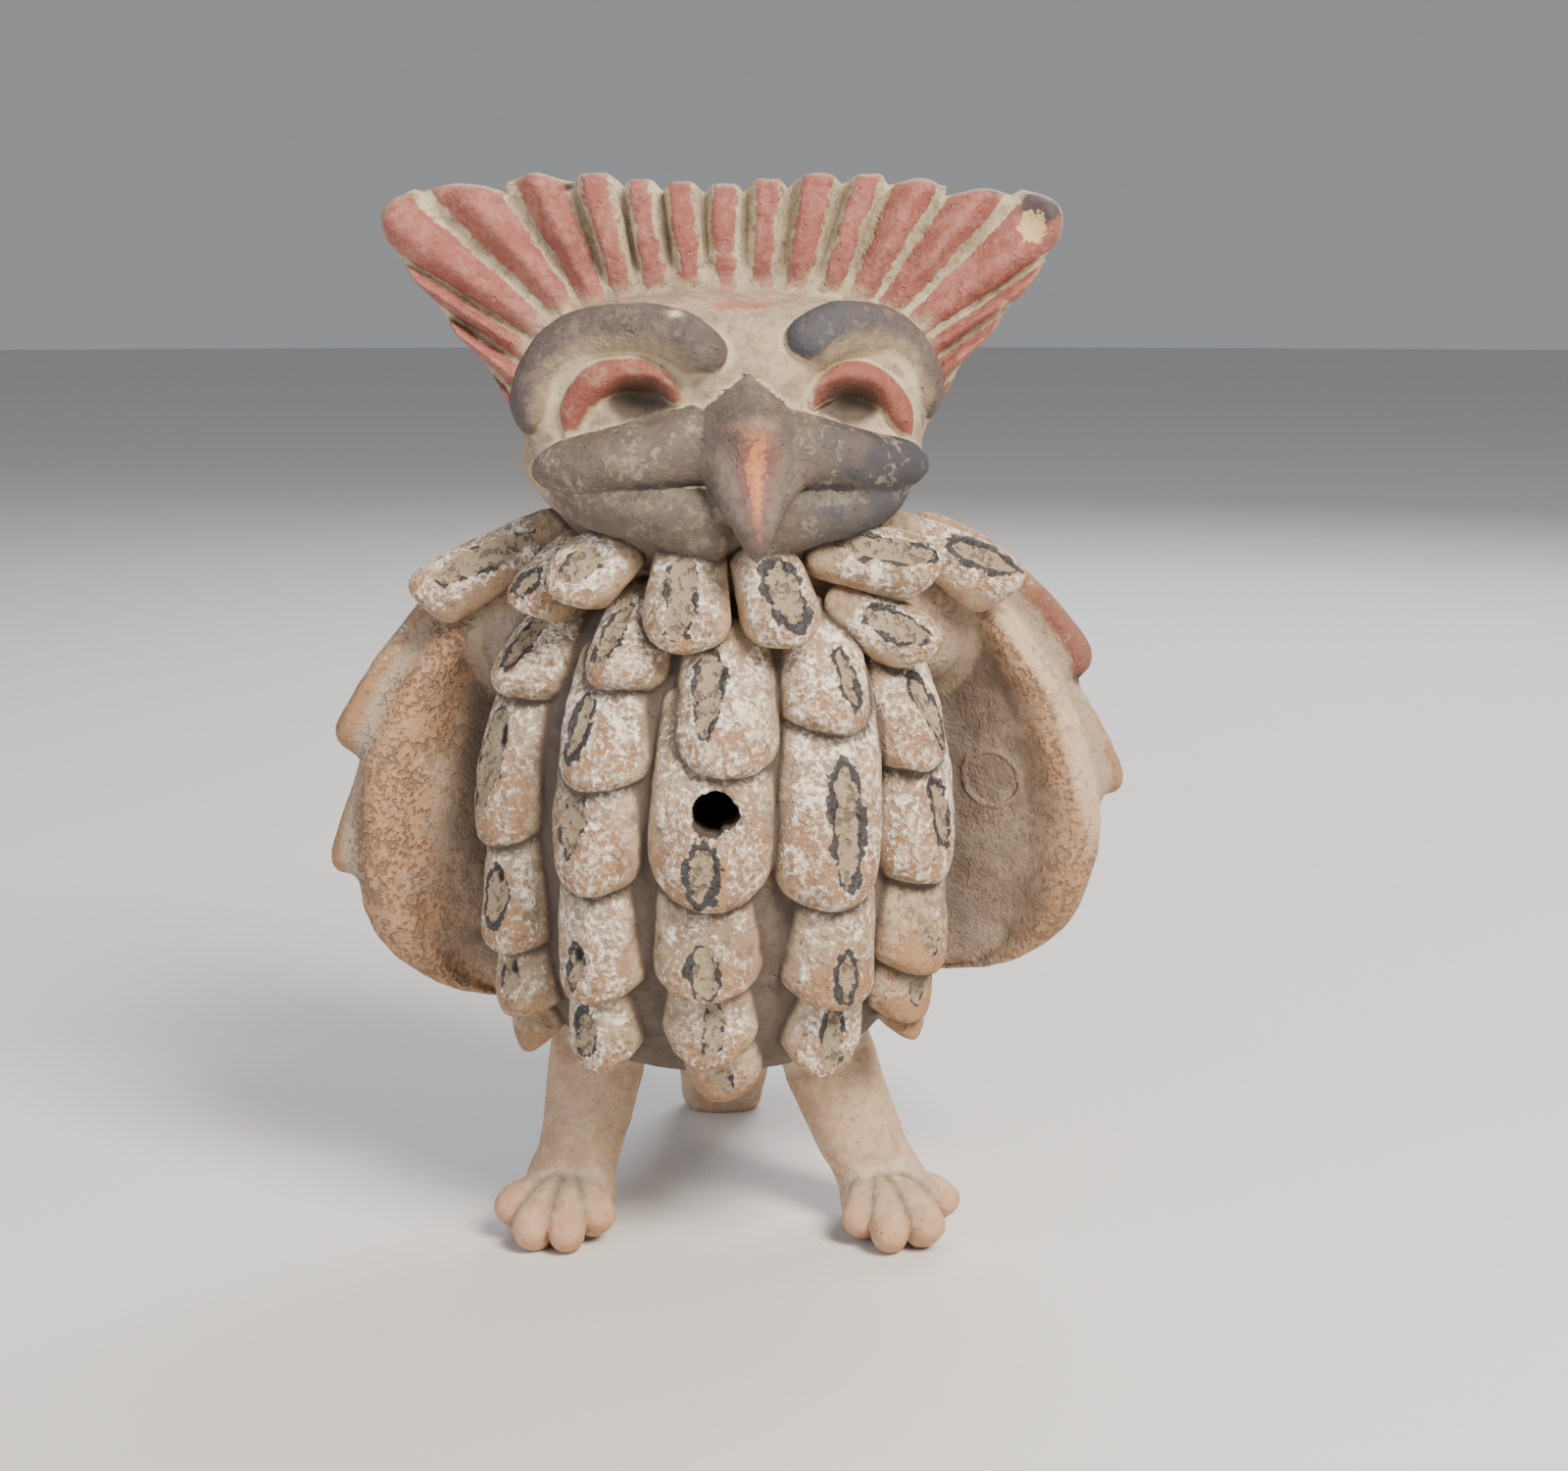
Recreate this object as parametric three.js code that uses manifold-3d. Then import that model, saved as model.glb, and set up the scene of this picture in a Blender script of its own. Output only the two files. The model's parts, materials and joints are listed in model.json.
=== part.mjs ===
// A small clay bird whistle, hand built and fired as one piece.
// A hollow egg-shaped body is covered with rows of pressed-on feather petals. Two cupped wings stand
// at its sides, a wide face with a hooked beak looks forward, and a fan of seventeen ribs crowns it.
// It stands on two clawed feet and on the blowpipe, which slopes down behind as a tail.
// A tone hole opens in the belly, and a window above the blowpipe.
// Millimetres, +Z up, the face towards -Y, the ground at Z = 0.
import * as THREE from 'three';
import { mergeVertices } from 'three/addons/utils/BufferGeometryUtils.js';
import Module from 'manifold-3d';

const wasm = await Module();
wasm.setup();

// The body is an egg with a flat, broad bottom, given by its middle, its half sizes, and the
// power of its profile above and below the middle.
const BODY = {
  middle: [-0.8, 0, 46],
  across: 22.3,
  deep: 22,
  up: 29,
  down: 28,
  powerUp: 2.1,
  powerDown: 3.2,
};
const WALL = 4.5;
const TONE_HOLE = { x: -0.6, z: 49, radius: 2.5 };

// The skull is a rounded box. The face on it is turned a little to one side.
const SKULL = { middle: [-0.4, -2, 84.5], half: [20.4, 16.5, 14.5], power: 3 };
const FACE_TURN = THREE.MathUtils.degToRad(7);
// The two eyes: places and half sizes of the brow, the lid and the pupil, measured on the face.
const EYES = [
  {
    side: -1,
    brow: { x: 11.1, z: 3.4, reach: 8.9, rise: 8.4, from: -20, to: 168 },
    lid: { x: 11, z: 3.8, reach: 5.6, rise: 3.4 },
    pupil: { x: 10.2, z: 4 },
  },
  {
    side: 1,
    brow: { x: 12.4, z: 3.2, reach: 7.9, rise: 8.4, from: -26, to: 160 },
    lid: { x: 12.2, z: 3.4, reach: 4.8, rise: 3.4 },
    pupil: { x: 12, z: 3.6 },
  },
];
const BROW = { half: 2.3, height: 2.4 };
const LID = { half: 1.7, height: 1.5 };
const PUPIL = { radii: [2.3, 2.6, 1.7] };
const BEAK = { x: 0.9, top: 7.6, tip: -9, half: 5.3, height: 6.8, hook: 7.5 };

// The crest is a slab whose outline is a wide trapezoid with rounded upper corners.
const CREST = {
  y: -2.5,
  ribs: 17,
  narrowRibs: 9,
  rootHalf: 19,
  rootLow: 80,
  rootRise: 17.5,
  thick: 3.1,
  rib: 1.9,
  sideFoot: [23.2, 89.6],
  tipLow: [35, 104.6],
  tipCorner: [35.8, 109.6],
  tipHigh: [30, 110.4],
  topMiddle: [0, 111.2],
};

// One wing: it hangs from the shoulder, is widest below its middle, and curls forward at its rim.
const WING = { inner: 13, reach: 24.6, sag: 0.165, thick: 4.3, backY: 7, rimY: -7 };
const LEFT_WING = { side: -1, z: 47.6, half: 25, raised: 0 };
const RIGHT_WING = { side: 1, z: 49.6, half: 23.8, raised: 15 };

const LEGS = [
  { hip: [-12.5, 2, 26], knee: [-14.6, -1, 14], ankle: [-16.6, -3, 6], foot: [-17.8, -6.5, -0.4] },
  { hip: [8.8, 2, 26], knee: [12, -1, 14], ankle: [15.8, -3, 6], foot: [18, -6.5, -0.4] },
];
const TOE_FAN = [-44, -15, 13, 42];
const TOE = { reach: 7.6, half: 2.1, high: 4.2, low: 1.2 };

const TAIL = {
  root: [-0.6, 12, 33],
  bend: [-1.1, 25, 17.6],
  end: [-1.7, 38, -1.6],
  halfRoot: 8.6,
  halfEnd: 4.7,
  thickRoot: 5.4,
  thickEnd: 3.8,
};
const WINDWAY = { blown: [-1.7, 41, -0.6], sounding: [-0.6, 16.5, 29.5], wide: 4.6, high: 1.6 };
const WINDOW = { inside: [-0.6, 12, 31.6], outside: [-0.6, 28, 31.6], wide: 6.2, high: 5.2 };

// Front columns of petals: each tip is given by its angle round the body and its angle down from
// the top, both in degrees, with the petal's width and the sideways lean of its root.
const COLUMN_PETALS = [
  // the middle column, with the tone hole in its second petal
  { turn: 3, down: 79, width: 10.2, length: 17, lean: -1 },
  { turn: -1, down: 97, width: 12.4, length: 18, lean: -1 },
  { turn: -2, down: 113, width: 10.6, length: 14, lean: 1 },
  { turn: -2, down: 132, width: 9.8, length: 13, lean: 0 },
  { turn: 2, down: 152, width: 8.4, length: 12, lean: 0 },
  // the column on each side of it
  { turn: -24, down: 65, width: 8.8, length: 14, lean: 5 },
  { turn: -28, down: 83, width: 9.4, length: 16, lean: 6 },
  { turn: -30, down: 97, width: 9, length: 15, lean: 3 },
  { turn: -30, down: 115, width: 8.8, length: 14, lean: 1 },
  { turn: -35, down: 137, width: 8.2, length: 13, lean: -3 },
  { turn: 31, down: 73, width: 9.2, length: 15, lean: -10 },
  { turn: 29, down: 98, width: 10.6, length: 22, lean: -8 },
  { turn: 31, down: 115, width: 9.4, length: 14, lean: -3 },
  { turn: 33, down: 138, width: 8.6, length: 13, lean: 0 },
  // the outer columns, next to the wings
  { turn: -58, down: 68, width: 9, length: 14, lean: 8 },
  { turn: -62, down: 92, width: 9.2, length: 17, lean: 5 },
  { turn: -62, down: 110, width: 8.6, length: 15, lean: 2 },
  { turn: -66, down: 128, width: 7.8, length: 12, lean: -4 },
  { turn: -76, down: 139, width: 7, length: 11, lean: 0 },
  { turn: 55, down: 81, width: 9.2, length: 16, lean: -16 },
  { turn: 57, down: 96, width: 9.4, length: 16, lean: -10 },
  { turn: 57, down: 115, width: 8.8, length: 14, lean: -4 },
  { turn: 61, down: 129, width: 7.6, length: 12, lean: 2 },
];

// The plainer columns that go down the back, between the wings.
const BACK_COLUMNS = { turns: [-152, -180, 152], downs: [56, 80, 102], width: 11, length: 17 };

// Petals of the collar, which lie over the shoulders: root and tip as points, and where they face.
const COLLAR_PETALS = [
  { root: [-15, -4.5, 76.4], tip: [-30.4, -5, 67], faces: [-0.45, -0.75, 0.5], width: 6.8 },
  { root: [-13, -9, 72.8], tip: [-19.2, -10.5, 65.4], faces: [-0.5, -0.8, 0.3], width: 7 },
  { root: [-9, -14, 73.5], tip: [-14.6, -14.6, 67.2], faces: [-0.35, -0.9, 0.25], width: 7.6 },
  { root: [-3.2, -16, 75], tip: [-3.8, -19, 64.4], faces: [-0.1, -0.95, 0.25], width: 8.6 },
  { root: [3, -15.6, 75], tip: [6.2, -18.2, 65], faces: [0.2, -0.95, 0.25], width: 8.2 },
  { root: [8, -13.5, 73], tip: [20.4, -11.5, 70.4], faces: [0.25, -0.9, 0.35], width: 6.8 },
  { root: [16, -6, 75.6], tip: [28.6, -5, 68.4], faces: [0.45, -0.75, 0.5], width: 7.2 },
  { root: [10, -13.5, 68.6], tip: [19.6, -10.8, 63.6], faces: [0.45, -0.85, 0.15], width: 6.8 },
];

// Petals on the back of a wing: angle down the wing and share of its reach, for root and tip.
const WING_PETALS = [
  { root: [40, 0.55], tip: [87, 0.98], width: 8.6 },
  { root: [72, 0.66], tip: [110, 0.93], width: 8.2 },
  { root: [96, 0.58], tip: [133, 0.82], width: 8.4 },
  { root: [44, 0.28], tip: [86, 0.62], width: 9 },
  { root: [78, 0.3], tip: [113, 0.6], width: 9 },
  { root: [102, 0.26], tip: [140, 0.5], width: 8.6 },
];
const PETAL = { thick: 2.3, lift: 2.2, sink: 2.2 };
// A petal's section: a rounded back that shows, and a keel that is sunk in the clay under it.
const PETAL_SECTION = [
  [1, -0.45],
  [0.82, 0.72],
  [0, 1],
  [-0.82, 0.72],
  [-1, -0.45],
  [0, -1],
];

const vector = ([x, y, z]) => new THREE.Vector3(x, y, z);
const signedPower = (value, power) => Math.sign(value) * Math.abs(value) ** power;
const mix = (a, b, share) => a + (b - a) * share;

// A closed three.js geometry as a solid, with its shared corners merged and its faces turned out.
function solidOf(geometry) {
  geometry.deleteAttribute('normal');
  geometry.deleteAttribute('uv');
  const merged = mergeVertices(geometry, 1e-4);
  const corners = merged.attributes.position.array;
  const faces = new Uint32Array(merged.index.array);
  const made = new wasm.Manifold(
    new wasm.Mesh({ numProp: 3, vertProperties: corners, triVerts: faces }),
  );
  if (made.volume() > 0) return made;
  faces.reverse();
  return new wasm.Manifold(new wasm.Mesh({ numProp: 3, vertProperties: corners, triVerts: faces }));
}

// A sphere's net pulled to another shape: pointAt(along, round) places each corner, with along
// from 0 at one pole to 1 at the other, and round from 0 to 1 about the axis between them.
function pulledSphere(pointAt, rows, columns) {
  const net = new THREE.SphereGeometry(1, columns, rows);
  const { position, uv } = net.attributes;
  for (let i = 0; i < position.count; i += 1) {
    const along = 1 - uv.getY(i);
    const atPole = along === 0 || along === 1;
    const point = pointAt(along, atPole ? 0 : uv.getX(i) % 1);
    position.setXYZ(i, point.x, point.y, point.z);
  }
  return solidOf(net);
}

// A rounded box or ellipsoid: |x/a|^n + |y/b|^n + |z/c|^n = 1 about its middle.
function roundedBox(middle, half, power, rows, columns) {
  const bend = 2 / power;
  return pulledSphere(
    (along, round) => {
      const down = along * Math.PI;
      const turn = round * 2 * Math.PI;
      const ring = Math.abs(Math.sin(down)) ** bend;
      return new THREE.Vector3(
        middle[0] + half[0] * ring * signedPower(Math.cos(turn), bend),
        middle[1] + half[1] * ring * signedPower(Math.sin(turn), bend),
        middle[2] + half[2] * signedPower(Math.cos(down), bend),
      );
    },
    rows,
    columns,
  );
}

// A form carried along a path: at each share of the path, frame gives a point and two directions,
// across and up, and size gives the half width and the heights above and below the point. The
// section's corners are given as shares of that half width and of those heights.
function carried(frame, size, rows, section) {
  return pulledSphere(
    (along, round) => {
      // Rows lie closer together near both ends, where the form is rounded off.
      const share = 0.5 - 0.5 * Math.cos(Math.PI * along);
      const { point, across, up } = frame(share);
      const { half, above, below } = size(share);
      const [side, height] = section[Math.round(round * section.length) % section.length];
      return point
        .clone()
        .addScaledVector(across, side * half)
        .addScaledVector(up, height * (height > 0 ? above : below));
    },
    rows,
    section.length,
  );
}

// The corners of a rounded section, evenly spaced round it.
function roundSection(corners, power = 2.4) {
  const bend = 2 / power;
  return Array.from({ length: corners }, (_, i) => {
    const turn = (i / corners) * 2 * Math.PI;
    return [signedPower(Math.cos(turn), bend), signedPower(Math.sin(turn), bend)];
  });
}

// The frame of a smooth path through three points: across and up are square to it, and up keeps
// as near as it can to the direction asked for at each end.
function pathFrame(root, middle, end, upRoot, upEnd) {
  const control = middle.clone().multiplyScalar(2).addScaledVector(root, -0.5).addScaledVector(end, -0.5);
  const curve = new THREE.QuadraticBezierCurve3(root, control, end);
  return (share) => {
    const ahead = curve.getTangent(share);
    const up = upRoot.clone().lerp(upEnd, share);
    up.addScaledVector(ahead, -up.dot(ahead)).normalize();
    return { point: curve.getPoint(share), across: ahead.clone().cross(up).normalize(), up };
  };
}

// How full a form is at a share of its length when both its ends are rounded off.
function roundEnds(share, startLength, endLength) {
  const start = Math.max(0, 1 - share / startLength);
  const end = Math.max(0, 1 - (1 - share) / endLength);
  return Math.sqrt(Math.max(0, 1 - start * start)) * Math.sqrt(Math.max(0, 1 - end * end));
}

// A clay petal: narrow and thin at its root, thick and round at its tip, pressed on what it lies on.
function petal({ root, middle, tip, upRoot, upTip, width, thick = PETAL.thick, sink = PETAL.sink, rows = 6 }) {
  const length = root.distanceTo(tip);
  const endLength = Math.min(0.6, (0.5 * width) / length);
  const size = (share) => {
    const full = roundEnds(share, 0.12, endLength);
    const lift = PETAL.lift * share * share;
    return {
      half: 0.5 * width * mix(0.74, 1, Math.sin(0.5 * Math.PI * share)) * full,
      above: (lift + thick * mix(0.25, 1, share)) * Math.sqrt(full),
      below: sink * full,
    };
  };
  return carried(pathFrame(root, middle, tip, upRoot, upTip), size, rows, PETAL_SECTION);
}

// A point on the body's skin, and the direction out of it, at an angle round from the front and
// an angle down from the top, both in degrees.
function onBody(turnDegrees, downDegrees, grow = 0) {
  const turn = THREE.MathUtils.degToRad(turnDegrees);
  const down = THREE.MathUtils.degToRad(downDegrees);
  const upper = downDegrees <= 90;
  const power = upper ? BODY.powerUp : BODY.powerDown;
  const tall = upper ? BODY.up : BODY.down;
  const ring = Math.abs(Math.sin(down)) ** (2 / power);
  const height = signedPower(Math.cos(down), 2 / power);
  const out = new THREE.Vector3(
    (ring ** (power - 1) * Math.sin(turn)) / BODY.across,
    (-(ring ** (power - 1)) * Math.cos(turn)) / BODY.deep,
    (Math.sign(height) * Math.abs(height) ** (power - 1)) / tall,
  ).normalize();
  const point = vector(BODY.middle).add(
    new THREE.Vector3(
      (BODY.across + grow) * ring * Math.sin(turn),
      -(BODY.deep + grow) * ring * Math.cos(turn),
      (tall + grow) * height,
    ),
  );
  return { point, out };
}

// The body's egg, made larger or smaller all round by grow.
function bodyEgg(grow, rows, columns) {
  return pulledSphere((along, round) => onBody(round * 360, along * 180, grow).point, rows, columns);
}

// A petal that lies on the body: its root is found by going up the body from its tip. Those at the
// sides are thicker and are pressed to face forwards.
function bodyPetal({ turn, down, width, length, lean }) {
  const perDegree = (0.5 * Math.PI * BODY.down) / 90;
  const rise = length / perDegree;
  const front = Math.abs(turn) < 90;
  const side = front ? Math.abs(Math.sin(THREE.MathUtils.degToRad(turn))) : 0;
  const [root, middle, tip] = [1, 0.5, 0].map((share) => {
    const { point, out } = onBody(turn - lean * share, down - rise * share, 1.4 * side);
    out.y -= 0.5 * side;
    return { point, out: out.normalize() };
  });
  return petal({
    root: root.point,
    middle: middle.point,
    tip: tip.point,
    upRoot: root.out,
    upTip: tip.out,
    width,
    sink: PETAL.sink + 1.6 * side,
    rows: front ? 6 : 5,
  });
}

// A petal of the collar, bowed a little outwards between its root and its tip.
function collarPetal({ root, tip, faces, width }) {
  const from = vector(root);
  const to = vector(tip);
  const out = vector(faces).normalize();
  const middle = from.clone().lerp(to, 0.5).addScaledVector(out, 1);
  return petal({ root: from, middle, tip: to, upRoot: out, upTip: out, width, thick: 2.7 });
}

// A point on a wing at an angle down from its top and a share of its reach, with depth through it
// from -1, its front, to 1, its back.
function onWing(wing, downDegrees, share, depth, extra = 0) {
  const down = THREE.MathUtils.degToRad(downDegrees);
  const full = Math.max(0, Math.sin(down));
  const reach = WING.reach * Math.sqrt(full) * (1 - WING.sag * Math.cos(down));
  const curl = 1.7;
  const swing = WING.rimY - WING.backY;
  const y = WING.backY + swing * share ** curl * full;
  const slope = reach > 0.01 ? (swing * curl * share ** (curl - 1) * full) / reach : 0;
  const out = new THREE.Vector3(-slope * wing.side, 1, 0).normalize();
  const thick = WING.thick * full ** 0.4;
  const point = new THREE.Vector3(
    wing.side * (WING.inner + reach * share),
    y,
    wing.z + wing.half * Math.cos(down),
  ).addScaledVector(out, depth * thick + extra);
  return { point, out };
}

function wingPad(wing) {
  const fullness = 0.72;
  return pulledSphere(
    (along, round) => {
      const turn = round * 2 * Math.PI;
      const share = 0.5 + 0.5 * signedPower(Math.cos(turn), fullness);
      return onWing(wing, along * 180, share, signedPower(Math.sin(turn), fullness)).point;
    },
    10,
    14,
  );
}

function wingPetal(wing, { root, tip, width }) {
  const [from, middle, to] = [0, 0.5, 1].map((share) => {
    const down = mix(root[0], tip[0], share) - wing.raised;
    return onWing(wing, down, mix(root[1], tip[1], share), 0.75);
  });
  return petal({
    root: from.point,
    middle: middle.point,
    tip: to.point,
    upRoot: from.out,
    upTip: to.out,
    width,
    thick: 1.9,
    rows: 5,
  });
}

// A point on the front of the skull for a place on the face, before the face is turned.
function onFace(x, z) {
  const [a, b, c] = SKULL.half;
  const left = 1 - Math.abs(x / a) ** SKULL.power - Math.abs(z / c) ** SKULL.power;
  return new THREE.Vector3(x, -b * Math.max(0.004, left) ** (1 / SKULL.power), z);
}

// The direction out of the skull at a point of it.
function faceOut(point) {
  const out = new THREE.Vector3();
  ['x', 'y', 'z'].forEach((axis, i) => {
    out[axis] = signedPower(point[axis] / SKULL.half[i], SKULL.power - 1) / SKULL.half[i];
  });
  return out.normalize();
}

// A raised arch over an eye, from its outer end over the top to its inner end.
function eyeArch(side, { x, z, reach, rise, from = -12, to = 176 }, { half, height }, rows) {
  const at = (share) => {
    const turn = THREE.MathUtils.degToRad(mix(from, to, share));
    return onFace(side * (x + reach * Math.cos(turn)), z + rise * Math.sin(turn));
  };
  const step = 0.01;
  const frame = (share) => {
    const point = at(share);
    const up = faceOut(point);
    const ahead = at(share + step).sub(at(share - step)).normalize();
    return { point, across: ahead.cross(up).normalize(), up };
  };
  const size = (share) => {
    const full = roundEnds(share, 0.12, 0.12);
    return { half: half * full, above: height * full, below: 2 * full };
  };
  return carried(frame, size, rows, PETAL_SECTION);
}

// One jaw on one side of the beak: a padded strip that runs from the beak out to the cheek.
function jaw(side, inner, outer, half, height) {
  const from = onFace(side * inner[0], inner[1]);
  const to = onFace(side * outer[0], outer[1]);
  const middle = onFace(side * mix(inner[0], outer[0], 0.5), mix(inner[1], outer[1], 0.5));
  const size = (share) => {
    const full = roundEnds(share, 0.15, 0.22);
    return { half: half * full, above: height * full, below: 2.5 * full };
  };
  const frame = pathFrame(from, middle, to, faceOut(from), faceOut(to));
  return carried(frame, size, 5, PETAL_SECTION);
}

function beak() {
  const top = onFace(BEAK.x, BEAK.top);
  const bridge = onFace(BEAK.x, mix(BEAK.top, BEAK.tip, 0.5));
  const tip = new THREE.Vector3(BEAK.x, -SKULL.half[1] - BEAK.hook, BEAK.tip);
  const front = new THREE.Vector3(0, -1, 0.1).normalize();
  const size = (share) => {
    const swell = Math.sin(Math.PI * share ** 0.9) ** 0.9;
    return {
      half: mix(BEAK.half * swell, 0.9 * roundEnds(share, 0.1, 0.1), share ** 4),
      above: BEAK.height * swell * (1 - 0.5 * share),
      below: 2 + 5 * share * swell,
    };
  };
  return carried(pathFrame(top, bridge, tip, front, front), size, 9, roundSection(8, 1.7));
}

function face() {
  const raised = EYES.flatMap(({ side, brow, lid }) => [
    eyeArch(side, brow, BROW, 8),
    eyeArch(side, lid, LID, 6),
    jaw(side, [2, -1.8], [17.2, -3], 3, 2.4),
    jaw(side, [1, -9.2], [15.2, -7.4], 2.4, 2),
  ]);
  const pupils = EYES.map(({ side, pupil }) => {
    const at = onFace(side * pupil.x, pupil.z);
    return roundedBox([at.x, at.y, at.z], PUPIL.radii, 2, 5, 8);
  });
  const skull = roundedBox([0, 0, 0], SKULL.half, SKULL.power, 9, 16);
  const turned = join([skull, beak(), ...raised]).subtract(join(pupils));
  return turned.rotate([0, 0, THREE.MathUtils.radToDeg(FACE_TURN)]).translate(SKULL.middle);
}

// The crest's outline on one side, from the foot of its slanted edge over the tip to the middle.
function crestOutline(side) {
  const corner = ([x, z]) => new THREE.Vector2(side * x, z);
  const path = new THREE.CurvePath();
  const { sideFoot, tipLow, tipCorner, tipHigh, topMiddle } = CREST;
  path.add(new THREE.LineCurve(corner(sideFoot), corner(tipLow)));
  path.add(new THREE.QuadraticBezierCurve(corner(tipLow), corner(tipCorner), corner(tipHigh)));
  path.add(new THREE.LineCurve(corner(tipHigh), corner(topMiddle)));
  return path;
}

// Where a rib meets the outline, as a share of it from the top's middle: the ribs at the sides are
// twice as wide as those in the middle.
function ribPlace(rib) {
  const narrow = 0.5 * CREST.narrowRibs;
  const ends = 0.5 * (CREST.ribs + 1);
  const widths = Math.min(rib, narrow) + 2 * Math.max(0, rib - narrow);
  return widths / (narrow + 2 * (ends - narrow));
}

// The crest: a slab between the top of the head and its outline, with ribs that fan out.
function crest() {
  const outlines = { '-1': crestOutline(-1), 1: crestOutline(1) };
  const ends = 0.5 * (CREST.ribs + 1);
  const section = [
    [0, -1],
    [0.4, -1],
    [0.8, -1],
    [0.96, -0.7],
    [1, 0],
    [0.94, 0.8],
    [0.5, 1],
    [0, 1],
  ];
  return pulledSphere(
    (along, round) => {
      const rib = mix(-ends, ends, along);
      const share = Math.abs(rib) / ends;
      const rim = outlines[rib < 0 ? -1 : 1].getPointAt(1 - Math.min(1, ribPlace(Math.abs(rib))));
      const turn = 0.5 * Math.PI * share;
      const root = new THREE.Vector2(
        Math.sign(rib) * CREST.rootHalf * Math.sin(turn),
        CREST.rootLow + CREST.rootRise * Math.max(0, Math.cos(turn)) ** 0.4,
      );
      const closing = Math.sqrt(Math.max(0, 1 - share ** 24));
      const ridge = Math.abs(Math.cos(Math.PI * rib));
      const [out, depth] = section[Math.round(round * section.length) % section.length];
      const reach = mix(0.5, out, closing) * (out > 0.9 ? 0.965 + 0.035 * ridge : 1);
      const spot = root.clone().lerp(rim, reach);
      const relief = CREST.rib * (ridge - 0.5) * Math.min(1, 2 * out);
      const thick = (CREST.thick * mix(1.15, 0.85, out) + relief) * closing;
      return new THREE.Vector3(spot.x, CREST.y + depth * thick, spot.y);
    },
    2 * CREST.ribs + 2,
    section.length,
  );
}

function leg({ hip, knee, ankle, foot }) {
  const bones = new THREE.CatmullRomCurve3([hip, knee, ankle, foot].map(vector));
  const frame = (share) => {
    const ahead = bones.getTangent(share);
    const up = new THREE.Vector3(0, -1, 0);
    up.addScaledVector(ahead, -up.dot(ahead)).normalize();
    return { point: bones.getPoint(share), across: ahead.cross(up).normalize(), up };
  };
  const size = (share) => {
    const full = roundEnds(share, 0.1, 0.14);
    const half = mix(5.6, 4.5, Math.min(1, share * 1.7)) + 2 * Math.max(0, share - 0.65) * 3;
    return { half: half * full, above: 4.4 * full, below: 4.6 * full };
  };
  const toes = TOE_FAN.map((degrees) => {
    const turn = THREE.MathUtils.degToRad(degrees + (hip[0] < 0 ? -7 : 12));
    const from = vector(ankle).add(new THREE.Vector3(0, 0.5, -2.4));
    const to = new THREE.Vector3(
      foot[0] + Math.sin(turn) * TOE.reach * 0.86,
      foot[1] - Math.cos(turn) * TOE.reach,
      TOE.low,
    );
    const middle = from.clone().lerp(to, 0.55).setZ(TOE.high - 0.6);
    const upward = new THREE.Vector3(0, 0, 1);
    const toeSize = (share) => {
      const full = roundEnds(share, 0.1, 0.2);
      return { half: TOE.half * full, above: TOE.half * full, below: 3.4 * full };
    };
    return carried(pathFrame(from, middle, to, upward, upward), toeSize, 4, roundSection(6));
  });
  return join([carried(frame, size, 7, roundSection(8)), ...toes]);
}

// The blowpipe: a flattened tube that slopes from the back of the body down to the ground.
function tail() {
  const upward = new THREE.Vector3(0, 0.5, 1).normalize();
  const frame = pathFrame(vector(TAIL.root), vector(TAIL.bend), vector(TAIL.end), upward, upward);
  const size = (share) => {
    const full = roundEnds(share, 0.12, 0.1);
    const thick = mix(TAIL.thickRoot, TAIL.thickEnd, share) * full;
    return { half: mix(TAIL.halfRoot, TAIL.halfEnd, share) * full, above: thick, below: thick };
  };
  return carried(frame, size, 7, roundSection(8));
}

// A square-edged bar between two points.
function bar([from, to], wide, high) {
  const bored = new THREE.BoxGeometry(wide, high, from.distanceTo(to));
  bored.lookAt(to.clone().sub(from));
  bored.translate(...from.clone().lerp(to, 0.5));
  return solidOf(bored);
}

// What is cut out of the clay: the sound chamber, the tone hole, the windway and its window.
function hollows() {
  const toneHole = new THREE.CylinderGeometry(TONE_HOLE.radius, TONE_HOLE.radius, BODY.deep, 12);
  toneHole.translate(TONE_HOLE.x, -BODY.deep, TONE_HOLE.z);
  return join([
    bodyEgg(-WALL, 9, 14),
    solidOf(toneHole),
    bar([vector(WINDWAY.blown), vector(WINDWAY.sounding)], WINDWAY.wide, WINDWAY.high),
    bar([vector(WINDOW.inside), vector(WINDOW.outside)], WINDOW.wide, WINDOW.high),
  ]);
}

function join(solids) {
  return solids.reduce((whole, next) => whole.add(next));
}

function whistle() {
  const wings = [LEFT_WING, RIGHT_WING].flatMap((wing) => [
    wingPad(wing),
    ...WING_PETALS.map((placed) => wingPetal(wing, placed)),
  ]);
  const backPetals = BACK_COLUMNS.turns.flatMap((turn) =>
    BACK_COLUMNS.downs.map((down) => {
      const { width, length } = BACK_COLUMNS;
      return bodyPetal({ turn, down, width, length, lean: 0 });
    }),
  );
  const clay = join([
    bodyEgg(0, 12, 22),
    roundedBox([-0.2, 0, 72], [16, 12.5, 9], 2.2, 6, 14),
    roundedBox([-16, 2, 65], [12, 8.5, 9], 2.2, 6, 8),
    roundedBox([15.5, 2, 66], [12, 8.5, 9], 2.2, 6, 8),
    face(),
    crest(),
    ...wings,
    ...COLUMN_PETALS.map(bodyPetal),
    ...backPetals,
    ...COLLAR_PETALS.map(collarPetal),
    ...LEGS.map(leg),
    tail(),
  ]);
  const ground = new THREE.BoxGeometry(200, 200, 20);
  ground.translate(0, 0, -10);
  return clay.subtract(hollows()).subtract(solidOf(ground));
}

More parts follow.
